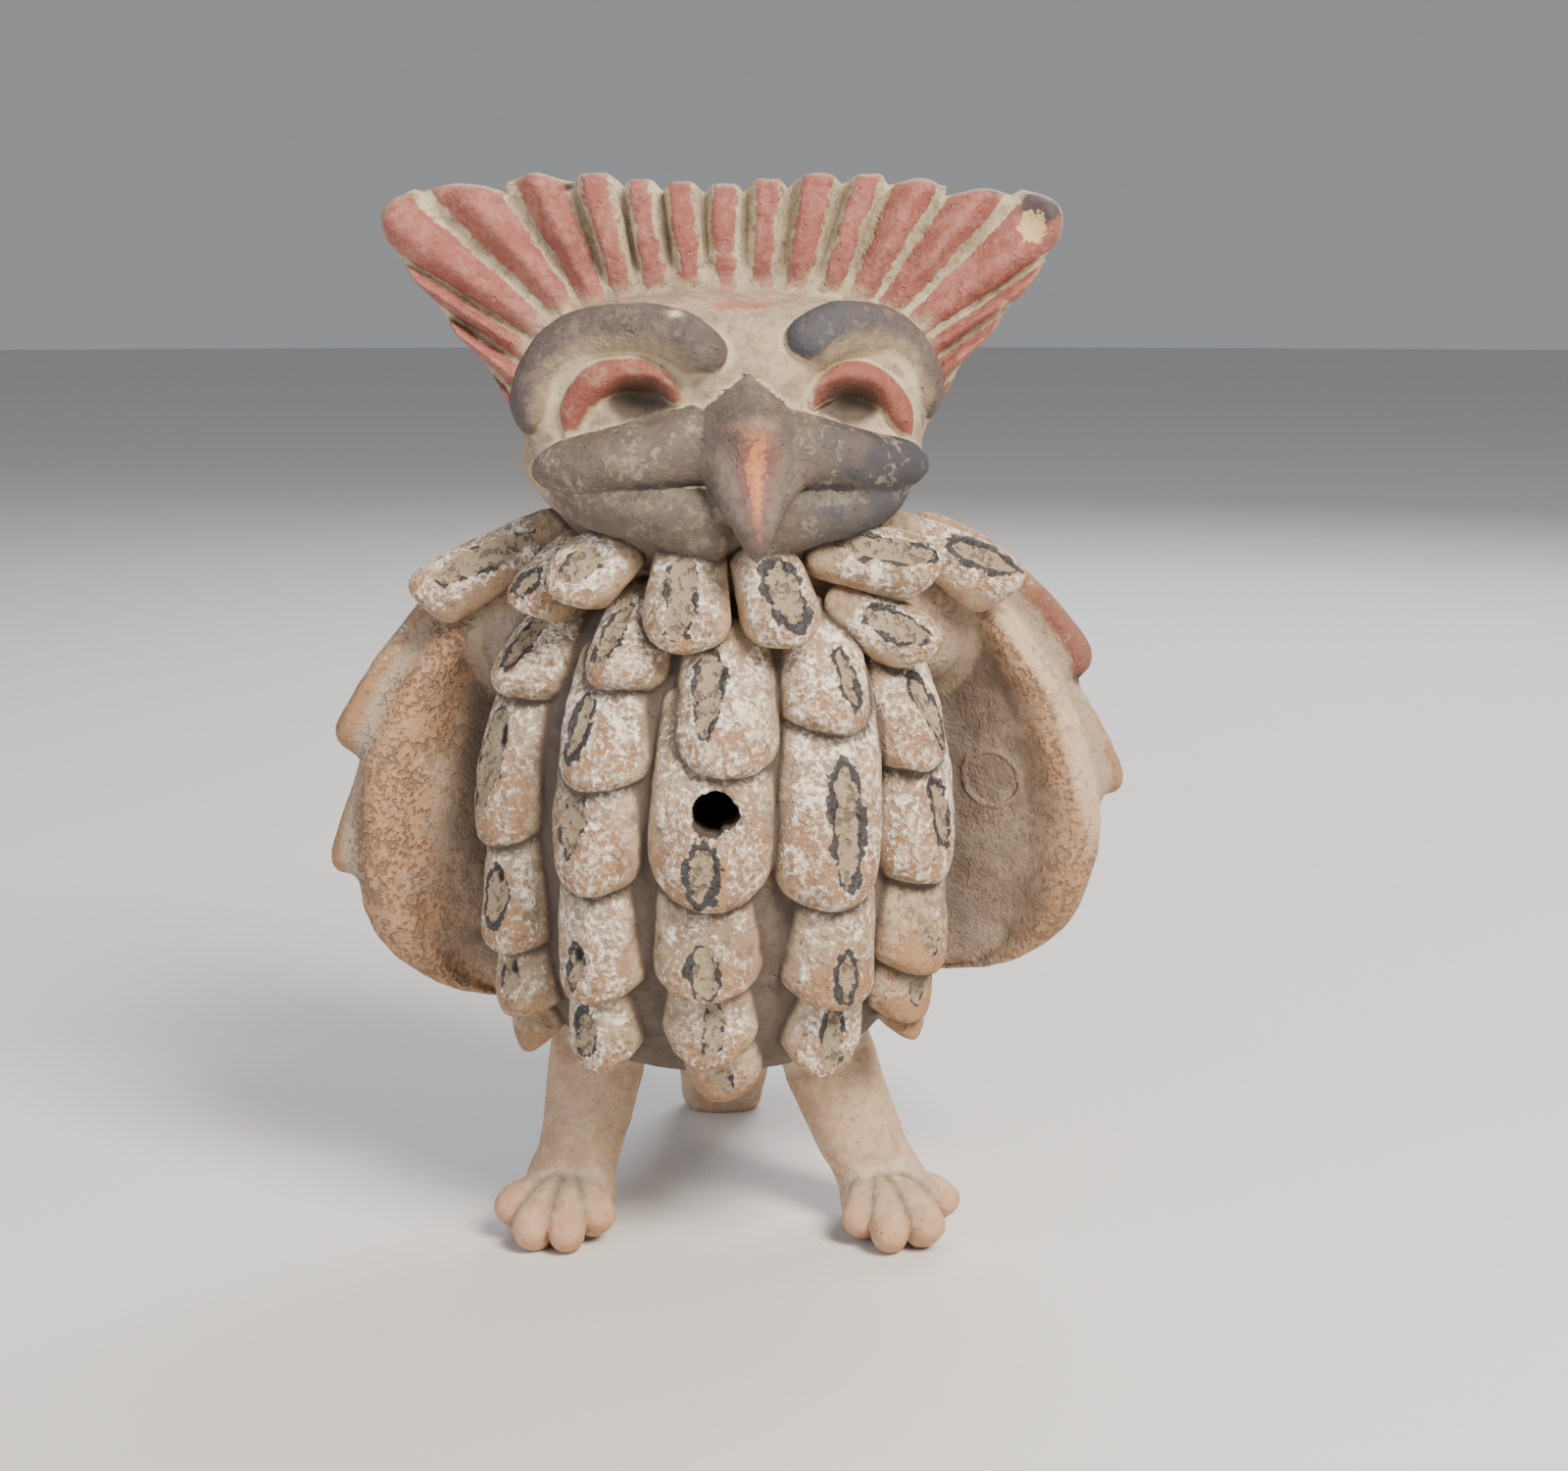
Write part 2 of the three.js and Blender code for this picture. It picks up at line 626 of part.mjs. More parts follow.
// The solid as a geometry, set down with the origin on the ground under the middle of its box.
function centred(solid) {
  const { vertProperties, triVerts } = solid.getMesh();
  const geometry = new THREE.BufferGeometry();
  geometry.setAttribute('position', new THREE.BufferAttribute(vertProperties, 3));
  geometry.setIndex(new THREE.BufferAttribute(triVerts, 1));
  geometry.computeBoundingBox();
  const { min, max } = geometry.boundingBox;
  geometry.translate(-0.5 * (min.x + max.x), -0.5 * (min.y + max.y), -min.z);
  geometry.computeVertexNormals();
  return geometry;
}

const firedClay = new THREE.MeshStandardMaterial({ color: 0xb49a7c, roughness: 0.86, metalness: 0 });
const clayWhistle = new THREE.Mesh(centred(whistle()), firedClay);
clayWhistle.name = 'clay_whistle';

const part = new THREE.Group();
part.add(clayWhistle);
export default part;
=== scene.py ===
"""A bird whistle of fired clay: hand built, painted with slip and earth colours, and worn.

Every form is a closed surface worked out in millimetres on a grid. The surfaces are joined into
one skin, the hollows are cut out of it, its creases are softened as wet clay is, and its finishes
are painted by where each spot lies on its own form.
"""

import json
import logging
import math
from dataclasses import dataclass, field
from enum import Enum
from functools import cached_property

import bpy
import numpy as np
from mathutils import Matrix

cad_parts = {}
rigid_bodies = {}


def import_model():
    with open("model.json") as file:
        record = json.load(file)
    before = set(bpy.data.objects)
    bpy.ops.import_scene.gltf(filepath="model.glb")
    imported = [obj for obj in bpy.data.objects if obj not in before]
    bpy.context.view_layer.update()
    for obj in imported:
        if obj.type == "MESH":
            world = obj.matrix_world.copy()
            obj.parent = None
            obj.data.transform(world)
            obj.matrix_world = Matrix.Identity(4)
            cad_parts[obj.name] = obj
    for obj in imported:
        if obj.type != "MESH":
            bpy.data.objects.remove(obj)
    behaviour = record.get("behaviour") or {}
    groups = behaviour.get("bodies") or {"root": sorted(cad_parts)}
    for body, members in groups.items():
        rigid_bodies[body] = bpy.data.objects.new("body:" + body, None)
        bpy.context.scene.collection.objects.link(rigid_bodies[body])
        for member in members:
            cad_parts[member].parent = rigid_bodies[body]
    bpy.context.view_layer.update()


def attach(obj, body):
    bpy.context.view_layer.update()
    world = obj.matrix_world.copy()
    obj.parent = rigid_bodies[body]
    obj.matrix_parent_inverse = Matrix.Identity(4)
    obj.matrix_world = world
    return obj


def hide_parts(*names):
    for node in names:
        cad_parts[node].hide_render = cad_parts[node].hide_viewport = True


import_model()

LOG = logging.getLogger("whistle")
Array = np.ndarray
Pair = tuple[float, float]
Point = tuple[float, float, float]
Colour = tuple[float, float, float, float]
Grain = tuple[float, float, float]
Mesh = bpy.types.Mesh
Object = bpy.types.Object
Material = bpy.types.Material
Socket = bpy.types.NodeSocket
Input = Socket | float
# A material's colour, its roughness and its relief.
Laid = tuple[Socket, Input, Socket]

PIECE = "feathered_clay_whistle"
NODE = "clay_whistle"
MILLIMETRE = 0.001
CERAMIC_IOR = 1.5
# How strongly a ragged edge crumbles: the share of each noise's height that its next finer grain
# has.
CRUMBLE = 0.62
# The forms are worked out about the middle of the body. This moves them, in millimetres, to the
# frame's origin, which is under the middle of the whole figure.
TO_ORIGIN = np.array([0.257, -6.789, 0.0])


class Finish(Enum):
    """The finishes of the clay, one for each kind of form."""

    BODY = "shaded_body_clay"
    BARE = "bare_buff_earthenware"
    PETAL = "slip_painted_petal"
    WING = "burnished_wing_clay"
    RIB = "red_painted_crest"
    FACE = "dusty_face_clay"
    BROW = "dark_painted_brow"
    LID = "red_painted_lid"
    LIP = "rubbed_dark_lower_jaw"
    JAW = "blue_black_painted_jaw"
    BEAK = "rubbed_painted_beak"
    INSIDE = "unpainted_inner_clay"


class Join(Enum):
    """How a form is joined: pressed on, drawn out of a main form, a main form, or of the bill."""

    PRESSED = 0
    DRAWN = 1
    MAIN = 2
    BEAK = 3
    JAW = 4


class Chart(Enum):
    """The UV maps of the skin, each with the pair of values of a form that doesn't use it."""

    PLACE = ("place", (0.0, 0.0))
    OVAL = ("oval", (90.0, 90.0))
    SIZE = ("oval_size", (1.0, 1.0))
    WEAR = ("wear", (0.0, 0.0))
    TINT = ("tint", (0.0, 0.0))
    PIT = ("pit", (9.0, 9.0))


def unit(vectors: Array) -> Array:
    """The same directions, each of length one."""
    return vectors / np.maximum(np.linalg.norm(vectors, axis=-1, keepdims=True), 1e-9)


def signed_power(value: Array, power: float) -> Array:
    """The size of a value raised to a power, with its sign kept."""
    return np.sign(value) * np.abs(value) ** power


def mix(start: Array, end: Array, share: Array) -> Array:
    """The value a share of the way from start to end."""
    return start + (end - start) * share


def smooth_step(low: float, high: float, value: Array) -> Array:
    """A soft step from 0 at low to 1 at high: three times the square less twice the cube."""
    share = np.clip((value - low) / (high - low), 0, 1)
    return share * share * (3 - 2 * share)


def round_ends(share: Array, start: float, end: float, blunt: float = 2.0) -> Array:
    """How full a form is along its length when both its ends are rounded off.

    Args:
        share: Places along the form, from 0 to 1.
        start: Length of its first rounded end, as a share.
        end: Length of its last rounded end, as a share.
        blunt: The last end's power: 2 gives a quarter ellipse, and more a blunter end.
    """
    before = np.clip(1 - share / start, 0, 1)
    after = np.clip(1 - (1 - share) / end, 0, 1)
    return np.sqrt(1 - before**2) * (1 - after**blunt) ** (1 / blunt)


def closer_at_ends(rows: int) -> Array:
    """Shares from 0 to 1 that lie closer together at both ends, as half a cosine wave does."""
    return 0.5 - 0.5 * np.cos(np.pi * np.linspace(0, 1, rows + 1))


def joined(*values: Array) -> Array:
    """Several values, spread over the same grid, as pairs or as points."""
    return np.stack(np.broadcast_arrays(*values), -1)


def read(items: bpy.types.bpy_prop_collection, name: str, kind: type, width: int = 1) -> Array:
    """One property of every item, with this many numbers for each, as a flat array."""
    values = np.empty(width * len(items), kind)
    items.foreach_get(name, values)
    return values


@dataclass(frozen=True)
class LatticeNoise:
    """Smooth noise from -1 to 1: random values on a cubic lattice, blended between its corners."""

    seed: int
    size: int = 24

    @cached_property
    def lattice(self) -> Array:
        """The random values, the same in every run."""
        return np.random.default_rng(self.seed).uniform(-1, 1, (self.size,) * 3)

    def at(self, points: Array, cell: float) -> Array:
        """The noise at some points.

        Args:
            points: Points in millimetres, along the last axis.
            cell: Spacing of the lattice in millimetres.

        Returns:
            One value for each point.
        """
        base = np.floor(points / cell).astype(int)
        part = points / cell - base
        part = part * part * (3 - 2 * part)
        total = np.zeros(points.shape[:-1])
        for corner in np.ndindex(2, 2, 2):
            weight = np.where(corner, part, 1 - part).prod(-1)
            at_corner = np.moveaxis((base + corner) % self.size, -1, 0)
            total += weight * self.lattice[tuple(at_corner)]
        return total


@dataclass
class Surface:
    """A closed surface: rows of points from one pole to the other, and columns round it."""

    name: str
    finish: Finish
    points: Array
    charts: dict[Chart, Array] = field(default_factory=dict)
    join: Join = Join.PRESSED

    def faces(self) -> tuple[Array, Array]:
        """The corners of the faces between the poles, and of those round both poles."""
        rows, columns = self.points.shape[:2]
        inner = 1 + np.arange((rows - 2) * columns).reshape(rows - 2, columns)
        beside = np.roll(inner, -1, 1)
        bands = np.stack([inner[:-1], inner[1:], beside[1:], beside[:-1]], -1).reshape(-1, 4)
        first = np.stack([np.zeros(columns, int), inner[0], beside[0]], -1)
        last_pole = np.full(columns, (rows - 2) * columns + 1)
        last = np.stack([last_pole, beside[-1], inner[-1]], -1)
        return bands, np.concatenate([first, last])

    @staticmethod
    def by_vertex(grid: Array) -> Array:
        """A grid's values in the order of the vertices, with each pole's row as one value."""
        inner = grid[1:-1].reshape(-1, grid.shape[-1])
        return np.concatenate([grid[:1, 0], inner, grid[-1:, 0]])

    def build(self, number: int, material: Material) -> Object:
        """Make the mesh, with its charts as UV maps and its number on its faces.

        Args:
            number: What tells this form's faces from the next one's.
            material: The form's finish.

        Returns:
            The object, linked to no collection yet.
        """
        corners = self.by_vertex(self.points)
        bands, caps = self.faces()
        a, b, c, d = (corners[bands[:, i]] for i in range(4))
        volume = np.einsum("ij,ij->", np.cross(c - a, d - b), a + b + c + d)
        if volume < 0:  # The faces point inwards.
            bands, caps = bands[:, ::-1], caps[:, ::-1]
        mesh = bpy.data.meshes.new(self.name)
        mesh.from_pydata(corners.tolist(), [], bands.tolist() + caps.tolist())
        used = read(mesh.loops, "vertex_index", np.int32)
        for chart in Chart:
            name, unused = chart.value
            grid = self.charts.get(chart)
            if grid is None:
                grid = np.broadcast_to(unused, (*self.points.shape[:2], 2))
            uv = mesh.uv_layers.new(name=name)
            uv.data.foreach_set("uv", self.by_vertex(grid)[used].astype(np.float32).ravel())
        numbers = mesh.attributes.new("form", "INT", "FACE")
        numbers.data.foreach_set("value", np.full(len(mesh.polygons), number, np.int32))
        mesh.materials.append(material)
        return bpy.data.objects.new(self.name, mesh)


@dataclass(frozen=True)
class PathFrame:
    """Points along a path, with the directions across it and up from it at each."""

    point: Array
    across: Array
    up: Array

    @classmethod
    def along(cls, point: Array, ahead: Array, up: Array) -> "PathFrame":
        """Square the up direction to the path, and find the direction across both."""
        ahead = unit(ahead)
        up = unit(up - np.sum(up * ahead, -1, keepdims=True) * ahead)
        return cls(point, unit(np.cross(ahead, up)), up)

    @classmethod
    def bow(cls, stations: Array, ups: Array, share: Array) -> "PathFrame":
        """A parabola through three stations, with up turning evenly from its first to its last.

        Args:
            stations: The root, the middle and the end.
            ups: The up direction at the root and at the end.
            share: Places along the path, from 0 to 1.
        """
        root, middle, end = stations
        control = 2 * middle - 0.5 * (root + end)
        s = share[:, None]
        point = (1 - s) ** 2 * root + 2 * s * (1 - s) * control + s**2 * end
        ahead = 2 * (1 - s) * (control - root) + 2 * s * (end - control)
        return cls.along(point, ahead, mix(ups[0], ups[1], s))


@dataclass(frozen=True)
class Section:
    """A rounded section: its half width and the heights of its crown and keel are each one."""

    side: Array
    crown: Array

    @classmethod
    def superellipse(cls, crown_columns: int, keel_columns: int, power: float) -> "Section":
        """Half a superellipse above the rim and half below it, each with its own columns.

        Args:
            crown_columns: Columns over the top.
            keel_columns: Columns round the underside.
            power: 2 gives an ellipse, and more gives squarer shoulders.
        """
        top = np.linspace(0, np.pi, crown_columns, endpoint=False)
        turn = np.concatenate([top, np.linspace(np.pi, 2 * np.pi, keel_columns, endpoint=False)])
        bend = 2 / power
        return cls(signed_power(np.cos(turn), bend), signed_power(np.sin(turn), bend))

    def carried(
        self, path: PathFrame, half: Array, above: Array, below: Array, rim: float = 0.0
    ) -> Array:
        """Carry the section along a path.

        A point lies at the path's point, plus the direction across times the half width and the
        section's side, plus the direction up times a lift: from the rim's height to the top for
        the crown, and from there to the bottom for the keel.

        Args:
            path: The path's frames.
            half: Half widths along the path.
            above: Heights of the top over the path, for each row or each row and column.
            below: Depths of the bottom under the path.
            rim: Depth of the rim under the path, as a share of the bottom's depth.

        Returns:
            The grid of points.
        """
        above = above if above.ndim == 2 else above[:, None]
        edge = -rim * below[:, None]
        up_part = edge + self.crown * (above - edge)
        down_part = edge + self.crown * (below[:, None] + edge)
        lift = np.where(self.crown > 0, up_part, down_part)
        sideways = half[:, None] * self.side
        return (
            path.point[:, None]
            + path.across[:, None] * sideways[..., None]
            + path.up[:, None] * lift[..., None]
        )


def rounded_box(middle: Point, half: Point, power: float, rows: int, columns: int) -> Array:
    """A rounded box: the three shares of its half sizes, each raised to the power, add up to one.

    Args:
        middle: Its middle.
        half: Its half sizes.
        power: 2 gives an ellipsoid, and more gives a squarer box.
        rows: Rows from its top to its bottom.
        columns: Columns round it.
    """
    down = np.linspace(0, np.pi, rows + 1)[:, None]
    turn = np.linspace(0, 2 * np.pi, columns, endpoint=False)[None]
    bend = 2 / power
    ring = signed_power(np.sin(down), bend)
    share = joined(
        ring * signed_power(np.cos(turn), bend),
        ring * signed_power(np.sin(turn), bend),
        signed_power(np.cos(down), bend),
    )
    return np.array(middle) + share * np.array(half)


@dataclass(frozen=True)
class Dent:
    """An oval place on a petal that is pressed in.

    Attributes:
        across: How far its middle lies to the right of the petal's middle line.
        above_tip: Its middle's distance up from the petal's tip.
        lean: How far its upper end leans to the right, in degrees.
    """

    across: float
    above_tip: float
    half_width: float
    half_length: float
    lean: float = 0.0

    @property
    def size(self) -> Array:
        """Its half width and its half length."""
        return np.array([self.half_width, self.half_length])

    def local(self, across: Array, above_tip: Array) -> Array:
        """Where points of the petal lie from its middle, turned to its lean, in millimetres."""
        lean = math.radians(self.lean)
        right, up = across - self.across, above_tip - self.above_tip
        return joined(
            right * math.cos(lean) - up * math.sin(lean),
            right * math.sin(lean) + up * math.cos(lean),
        )

    def radius(self, place: Array) -> Array:
        """How far out local places lie: 1 on its outline."""
        return np.linalg.norm(place / self.size, axis=-1)


@dataclass(frozen=True)
class Oval(Dent):
    """The painted oval of a petal: a shallow dish with a ragged dark outline.

    Its ring says how much of the outline is left, from 0 to 1.
    """

    ring: float = 0.7
    deep: float = 0.4

    def depth(self, place: Array) -> Array:
        """Its depth at local places: even inside, with a soft step up at its outline."""
        return self.deep * (1 - smooth_step(0.6, 1.1, self.radius(place)))


@dataclass(frozen=True)
class Pit(Dent):
    """A small hole poked in the soft clay, painted dark inside as its shade."""

    deep: float = 1.0

    def depth(self, place: Array) -> Array:
        """Its depth at local places: one less the radius squared, and that squared again."""
        return self.deep * (1 - np.clip(self.radius(place), 0, 1) ** 2) ** 2


@dataclass(frozen=True)
class Petal:
    """A feather petal pressed on the clay: narrow at its root, and thick and round at its tip.

    Attributes:
        stations: Its root, its middle and its tip.
        ups: The directions out of it at its root and at its tip.
        thick: Its height at its tip, without its lift.
        sink: How deep it goes into the clay under it.
        slip: How much white slip is left on it, from 0 to 1.
        rust: How brown it is where the slip is gone, from 0 to 1.
        red: How red its tip is, from 0 to 1.
        lift: How much more its tip is raised.
        rim: Depth of its rim, as a share of its sink.
        edge: The least share of the slip and the rust that reaches its rim.
        root_width: Width of its root, as a share of its width.
        root_thick: Height of its root, as a share of that of its tip.
        blunt: How blunt its tip is: 2 gives half an ellipse.
        power: How square its section is: 2 gives an ellipse.
    """

    name: str
    stations: Array
    ups: Array
    width: float
    thick: float = 2.6
    sink: float = 2.2
    slip: float = 0.8
    rust: float = 0.7
    red: float = 0.0
    oval: Oval | None = None
    pit: Pit | None = None
    rows: int = 44
    crown_columns: int = 30
    keel_columns: int = 6
    lift: float = 2.2
    rim: float = 0.45
    edge: float = 0.0
    root_width: float = 0.74
    root_thick: float = 0.25
    blunt: float = 2.8
    power: float = 2.1
    join: Join = Join.PRESSED

    def surface(self) -> Surface:
        """The petal.

        Its half width swells with a quarter sine wave, and its top rises with the square of the
        way along. Both ends are rounded off, and the oval and the pit are pressed into the crown.
        """
        share = closer_at_ends(self.rows)
        along = share[:, None]
        length = float(np.linalg.norm(self.stations[2] - self.stations[0]))
        full = round_ends(share, 0.12, min(0.6, 0.42 * self.width / length), self.blunt)
        half = 0.5 * self.width * mix(self.root_width, 1, np.sin(0.5 * np.pi * share)) * full
        top = (self.lift * share**2 + self.thick * mix(self.root_thick, 1, share)) * np.sqrt(full)
        section = Section.superellipse(self.crown_columns, self.keel_columns, self.power)
        slip_crown, rust_crown = (
            np.maximum(self.edge, smooth_step(low, high, section.crown))
            for low, high in ((0.0, 0.75), (0.2, 0.8))
        )
        slip = self.slip * slip_crown * smooth_step(0.05, 0.35, along)
        rust = self.rust * mix(0.45, 1.0, smooth_step(0.4, 0.9, along)) * rust_crown
        ring = self.oval.ring if self.oval else 0.0
        charts = {
            Chart.PLACE: joined(section.side, along),
            Chart.WEAR: joined(slip, rust),
            Chart.TINT: np.broadcast_to((ring, self.red), (*slip.shape, 2)),
        }
        spot = (-half[:, None] * section.side, (1 - along) * length)
        dent = np.zeros(slip.shape)
        if self.oval:
            place = self.oval.local(*spot)
            charts[Chart.OVAL] = place
            charts[Chart.SIZE] = np.broadcast_to(self.oval.size, place.shape)
            dent += self.oval.depth(place)
        if self.pit:
            place = self.pit.local(*spot)
            charts[Chart.PIT] = place / self.pit.size
            dent += self.pit.depth(place)
        dent *= smooth_step(0.35, 0.8, section.crown) * smooth_step(0, 0.3, full)[:, None]
        path = PathFrame.bow(self.stations, self.ups, share)
        points = section.carried(path, half, top[:, None] - dent, self.sink * full, self.rim)
        return Surface(self.name, Finish.PETAL, points, charts, self.join)


@dataclass(frozen=True)
class Feather:
    """One petal of the body's coat, placed by its tip.

    Attributes:
        turn: The tip's angle round the body from the front, to the bird's left, in degrees.
        down: The tip's angle down from the top of the body, in degrees.
        lean: How much further round its tip lies than its root, in degrees.
        slip: How much white slip is left on it, from 0 to 1.
    """

    turn: float
    down: float
    width: float
    length: float
    lean: float = 0.0
    oval: Oval | None = None
    pit: Pit | None = None
    slip: float = 0.8


@dataclass(frozen=True)
class Body:
    """The hollow, egg-shaped body, with a flat, broad bottom.

    Attributes:
        power_up: How square it is above its middle: 2 gives an ellipsoid.
        power_down: How square it is below its middle.
        side_lift: How much further out a petal at the side lies than one in front.
        side_sink: How much deeper it goes.
        side_turn: How much it is turned to face forwards.
    """

    middle: Point = (-0.8, 0.0, 46.0)
    across: float = 22.3
    deep: float = 22.0
    up: float = 29.0
    down: float = 28.0
    power_up: float = 2.1
    power_down: float = 3.2
    wall: float = 4.5
    side_lift: float = 1.4
    side_sink: float = 1.6
    side_turn: float = 0.5

    def skin(self, turn: Array, down: Array, grow: Array) -> tuple[Array, Array]:
        """A point on the egg, and the direction out of it.

        The egg is a superellipsoid with one power above its middle and another below. Its radius
        is the sine of the angle down, and its height the cosine, each raised to two over that
        power. The outward direction is the slope of the surface's equation.

        Args:
            turn: Angles round the body from the front, in degrees.
            down: Angles down from the top, in degrees.
            grow: How much larger the egg is all round.

        Returns:
            The points and the unit directions.
        """
        turn, down, grow = np.broadcast_arrays(turn, down, grow)
        turn, angle = np.radians(turn), np.radians(down)
        upper = down <= 90
        power = np.where(upper, self.power_up, self.power_down)
        tall = np.where(upper, self.up, self.down)
        ring = np.abs(np.sin(angle)) ** (2 / power)
        height = signed_power(np.cos(angle), 2 / power)
        out = joined(
            ring ** (power - 1) * np.sin(turn) / self.across,
            -(ring ** (power - 1)) * np.cos(turn) / self.deep,
            signed_power(height, power - 1) / tall,
        )
        offset = joined(
            (self.across + grow) * ring * np.sin(turn),
            -(self.deep + grow) * ring * np.cos(turn),
            (tall + grow) * height,
        )
        return np.array(self.middle) + offset, unit(out)

    def egg(self, name: str, finish: Finish, grow: float, rows: int, columns: int) -> Surface:
        """The whole egg, larger or smaller all round by grow."""
        down = np.linspace(0, 180, rows + 1)[:, None]
        turn = np.linspace(0, 360, columns, endpoint=False)[None]
        points = self.skin(turn, down, np.array(grow))[0]
        return Surface(name, finish, points, join=Join.MAIN)

    def petal(self, name: str, feather: Feather) -> Petal:
        """A petal that lies on the body, found by going up the body from its tip.

        Those at the sides are thicker and are pressed to face forwards.
        """
        rise = feather.length / (0.5 * math.pi * self.down / 90)
        front = abs(feather.turn) < 90
        side = abs(math.sin(math.radians(feather.turn))) if front else 0.0
        share = np.array([1.0, 0.5, 0.0])
        turn, down = feather.turn - feather.lean * share, feather.down - rise * share
        points, out = self.skin(turn, down, np.array(self.side_lift * side))
        out = unit(out - np.array([0, self.side_turn * side, 0]))
        # The petals behind are plainer.
        detail = {} if front else {"rows": 30, "crown_columns": 20, "rust": 0.55}
        return Petal(
            name=name,
            stations=points,
            ups=out[[0, 2]],
            width=feather.width,
            sink=Petal.sink + self.side_sink * side,
            slip=feather.slip,
            oval=feather.oval,
            pit=feather.pit,
            **detail,
        )


@dataclass(frozen=True)
class FeatherCoat:
    """The rows of petals on the body: seven columns in front, and three plainer ones behind."""

    body: Body
    middle: tuple[Feather, ...] = (
        Feather(2.4, 79, 11.0, 17, -1, Oval(-1.7, 7.6, 1.4, 4.2, 4, 0.75)),
        Feather(-1, 95.6, 13.0, 18, -1, Oval(-0.5, 2.9, 1.6, 2.3, 0, 0.95), slip=0.75),
        Feather(-2, 112, 11.0, 14, 1, Oval(0, 4.4, 1.5, 3.3, 0, 0.8), slip=0.62),
        Feather(-2, 132, 10.2, 13, 0, Oval(0.4, 4.4, 1.0, 2.6, 0, 0.5), slip=0.66),
        Feather(2, 151, 8.8, 12, 0, Oval(0, 3.4, 1.1, 1.5, 0, 0.3), slip=0.3),
    )
    inner_left: tuple[Feather, ...] = (
        Feather(-25.5, 63.5, 9.2, 14, 5, Oval(-0.8, 5.4, 1.35, 3.4, 12, 0.7)),
        Feather(-28, 82.5, 10.0, 16, 6, Oval(-1.4, 6.0, 1.05, 3.2, 12, 0.9)),
        Feather(-30, 94.6, 9.8, 15, 3, Oval(-1.1, 5.8, 1.35, 3.2, 8, 0.5), slip=0.75),
        Feather(-31, 113, 9.8, 14, 1, Oval(-1.2, 5.2, 1.0, 2.5, 4, 0.8), Pit(-1.0, 6.6, 0.6, 0.9),
                slip=0.68),
        Feather(-36, 135, 9.0, 13, -3, Oval(-0.9, 4.4, 1.3, 2.3, -4, 0.8), slip=0.7),
    )
    inner_right: tuple[Feather, ...] = (
        Feather(28.6, 72, 10.4, 15, -10, Oval(1.2, 5.2, 0.95, 3.0, -14, 0.85)),
        Feather(27.6, 96.4, 12.0, 22, -8, Oval(0.4, 6.8, 1.65, 5.0, -4, 1.0)),
        Feather(29.6, 114.5, 10.6, 14, -3, Oval(0.4, 4.8, 1.0, 2.8, 0, 0.9), slip=0.62),
        Feather(32, 136.5, 9.6, 13, 0, Oval(0, 4.2, 1.3, 2.8, 0, 0.6), slip=0.7),
    )
    outer_left: tuple[Feather, ...] = (
        Feather(-61, 68, 10.4, 15, 8, Oval(0, 5.4, 1.2, 3.2, 10, 0.7)),
        Feather(-62, 91.5, 10.6, 17, 5, Oval(-0.8, 7.4, 2.0, 4.8, 6, 0.45),
                Pit(0.4, 9.6, 0.7, 1.4), slip=0.7),
        Feather(-61, 107, 10.2, 15, 2, Oval(0, 6.0, 1.7, 3.0, 0, 0.7), Pit(0.3, 8.2, 0.7, 0.9),
                slip=0.7),
        Feather(-64, 122, 9.4, 12, -4, Oval(0, 5.0, 1.3, 1.9, 0, 0.5), Pit(0.2, 5.6, 0.7, 0.8),
                slip=0.6),
        Feather(-73, 137, 8.8, 11, 0, Oval(0, 4.6, 0.8, 1.0, 0, 0.2), slip=0.3),
    )
    outer_right: tuple[Feather, ...] = (
        Feather(53.4, 81, 10.8, 16, -16, Oval(0.8, 5.8, 1.3, 3.7, -24, 1.0)),
        Feather(56, 95, 11.0, 16, -10, Oval(0.6, 5.8, 1.2, 2.9, -8, 0.7), Pit(0, 8.2, 0.6, 0.6)),
        Feather(57, 111, 10.2, 14, -4, Oval(0, 5.4, 1.1, 1.9, 0, 0.4), slip=0.5),
        Feather(59, 123, 9.2, 12, 2, Oval(0, 4.0, 0.8, 1.3, 0, 0.3), slip=0.4),
        Feather(64, 129, 6.4, 9, 2, slip=0.3),
    )
    back_turns: tuple[float, ...] = (-152.0, -180.0, 152.0)
    back_downs: tuple[float, ...] = (56.0, 80.0, 102.0)

    def surfaces(self) -> list[Surface]:
        """Every petal of the coat."""
        columns = {
            "middle": self.middle,
            "inner_left": self.inner_left,
            "inner_right": self.inner_right,
            "outer_left": self.outer_left,
            "outer_right": self.outer_right,
        }
        for i, turn in enumerate(self.back_turns, 1):
            columns[f"back_{i}"] = tuple(
                Feather(turn, down, 11, 17, slip=0.55) for down in self.back_downs
            )
        return [
            self.body.petal(f"petal_{name}_{i}", feather).surface()
            for name, column in columns.items()
            for i, feather in enumerate(column, 1)
        ]


@dataclass(frozen=True)
class CollarPetal:
    """One petal of the collar: its root, its tip, where it faces, its width and its oval."""

    root: Point
    tip: Point
    faces: Point
    width: float
    oval: Oval
    bow: float = 1.0

    def petal(self, name: str) -> Petal:
        """The petal, bowed a little outwards between its root and its tip."""
        root, tip = np.array(self.root), np.array(self.tip)
        out = unit(np.array(self.faces))
        stations = np.stack([root, 0.5 * (root + tip) + self.bow * out, tip])
        return Petal(name, stations, np.stack([out, out]), self.width, thick=2.7, oval=self.oval)


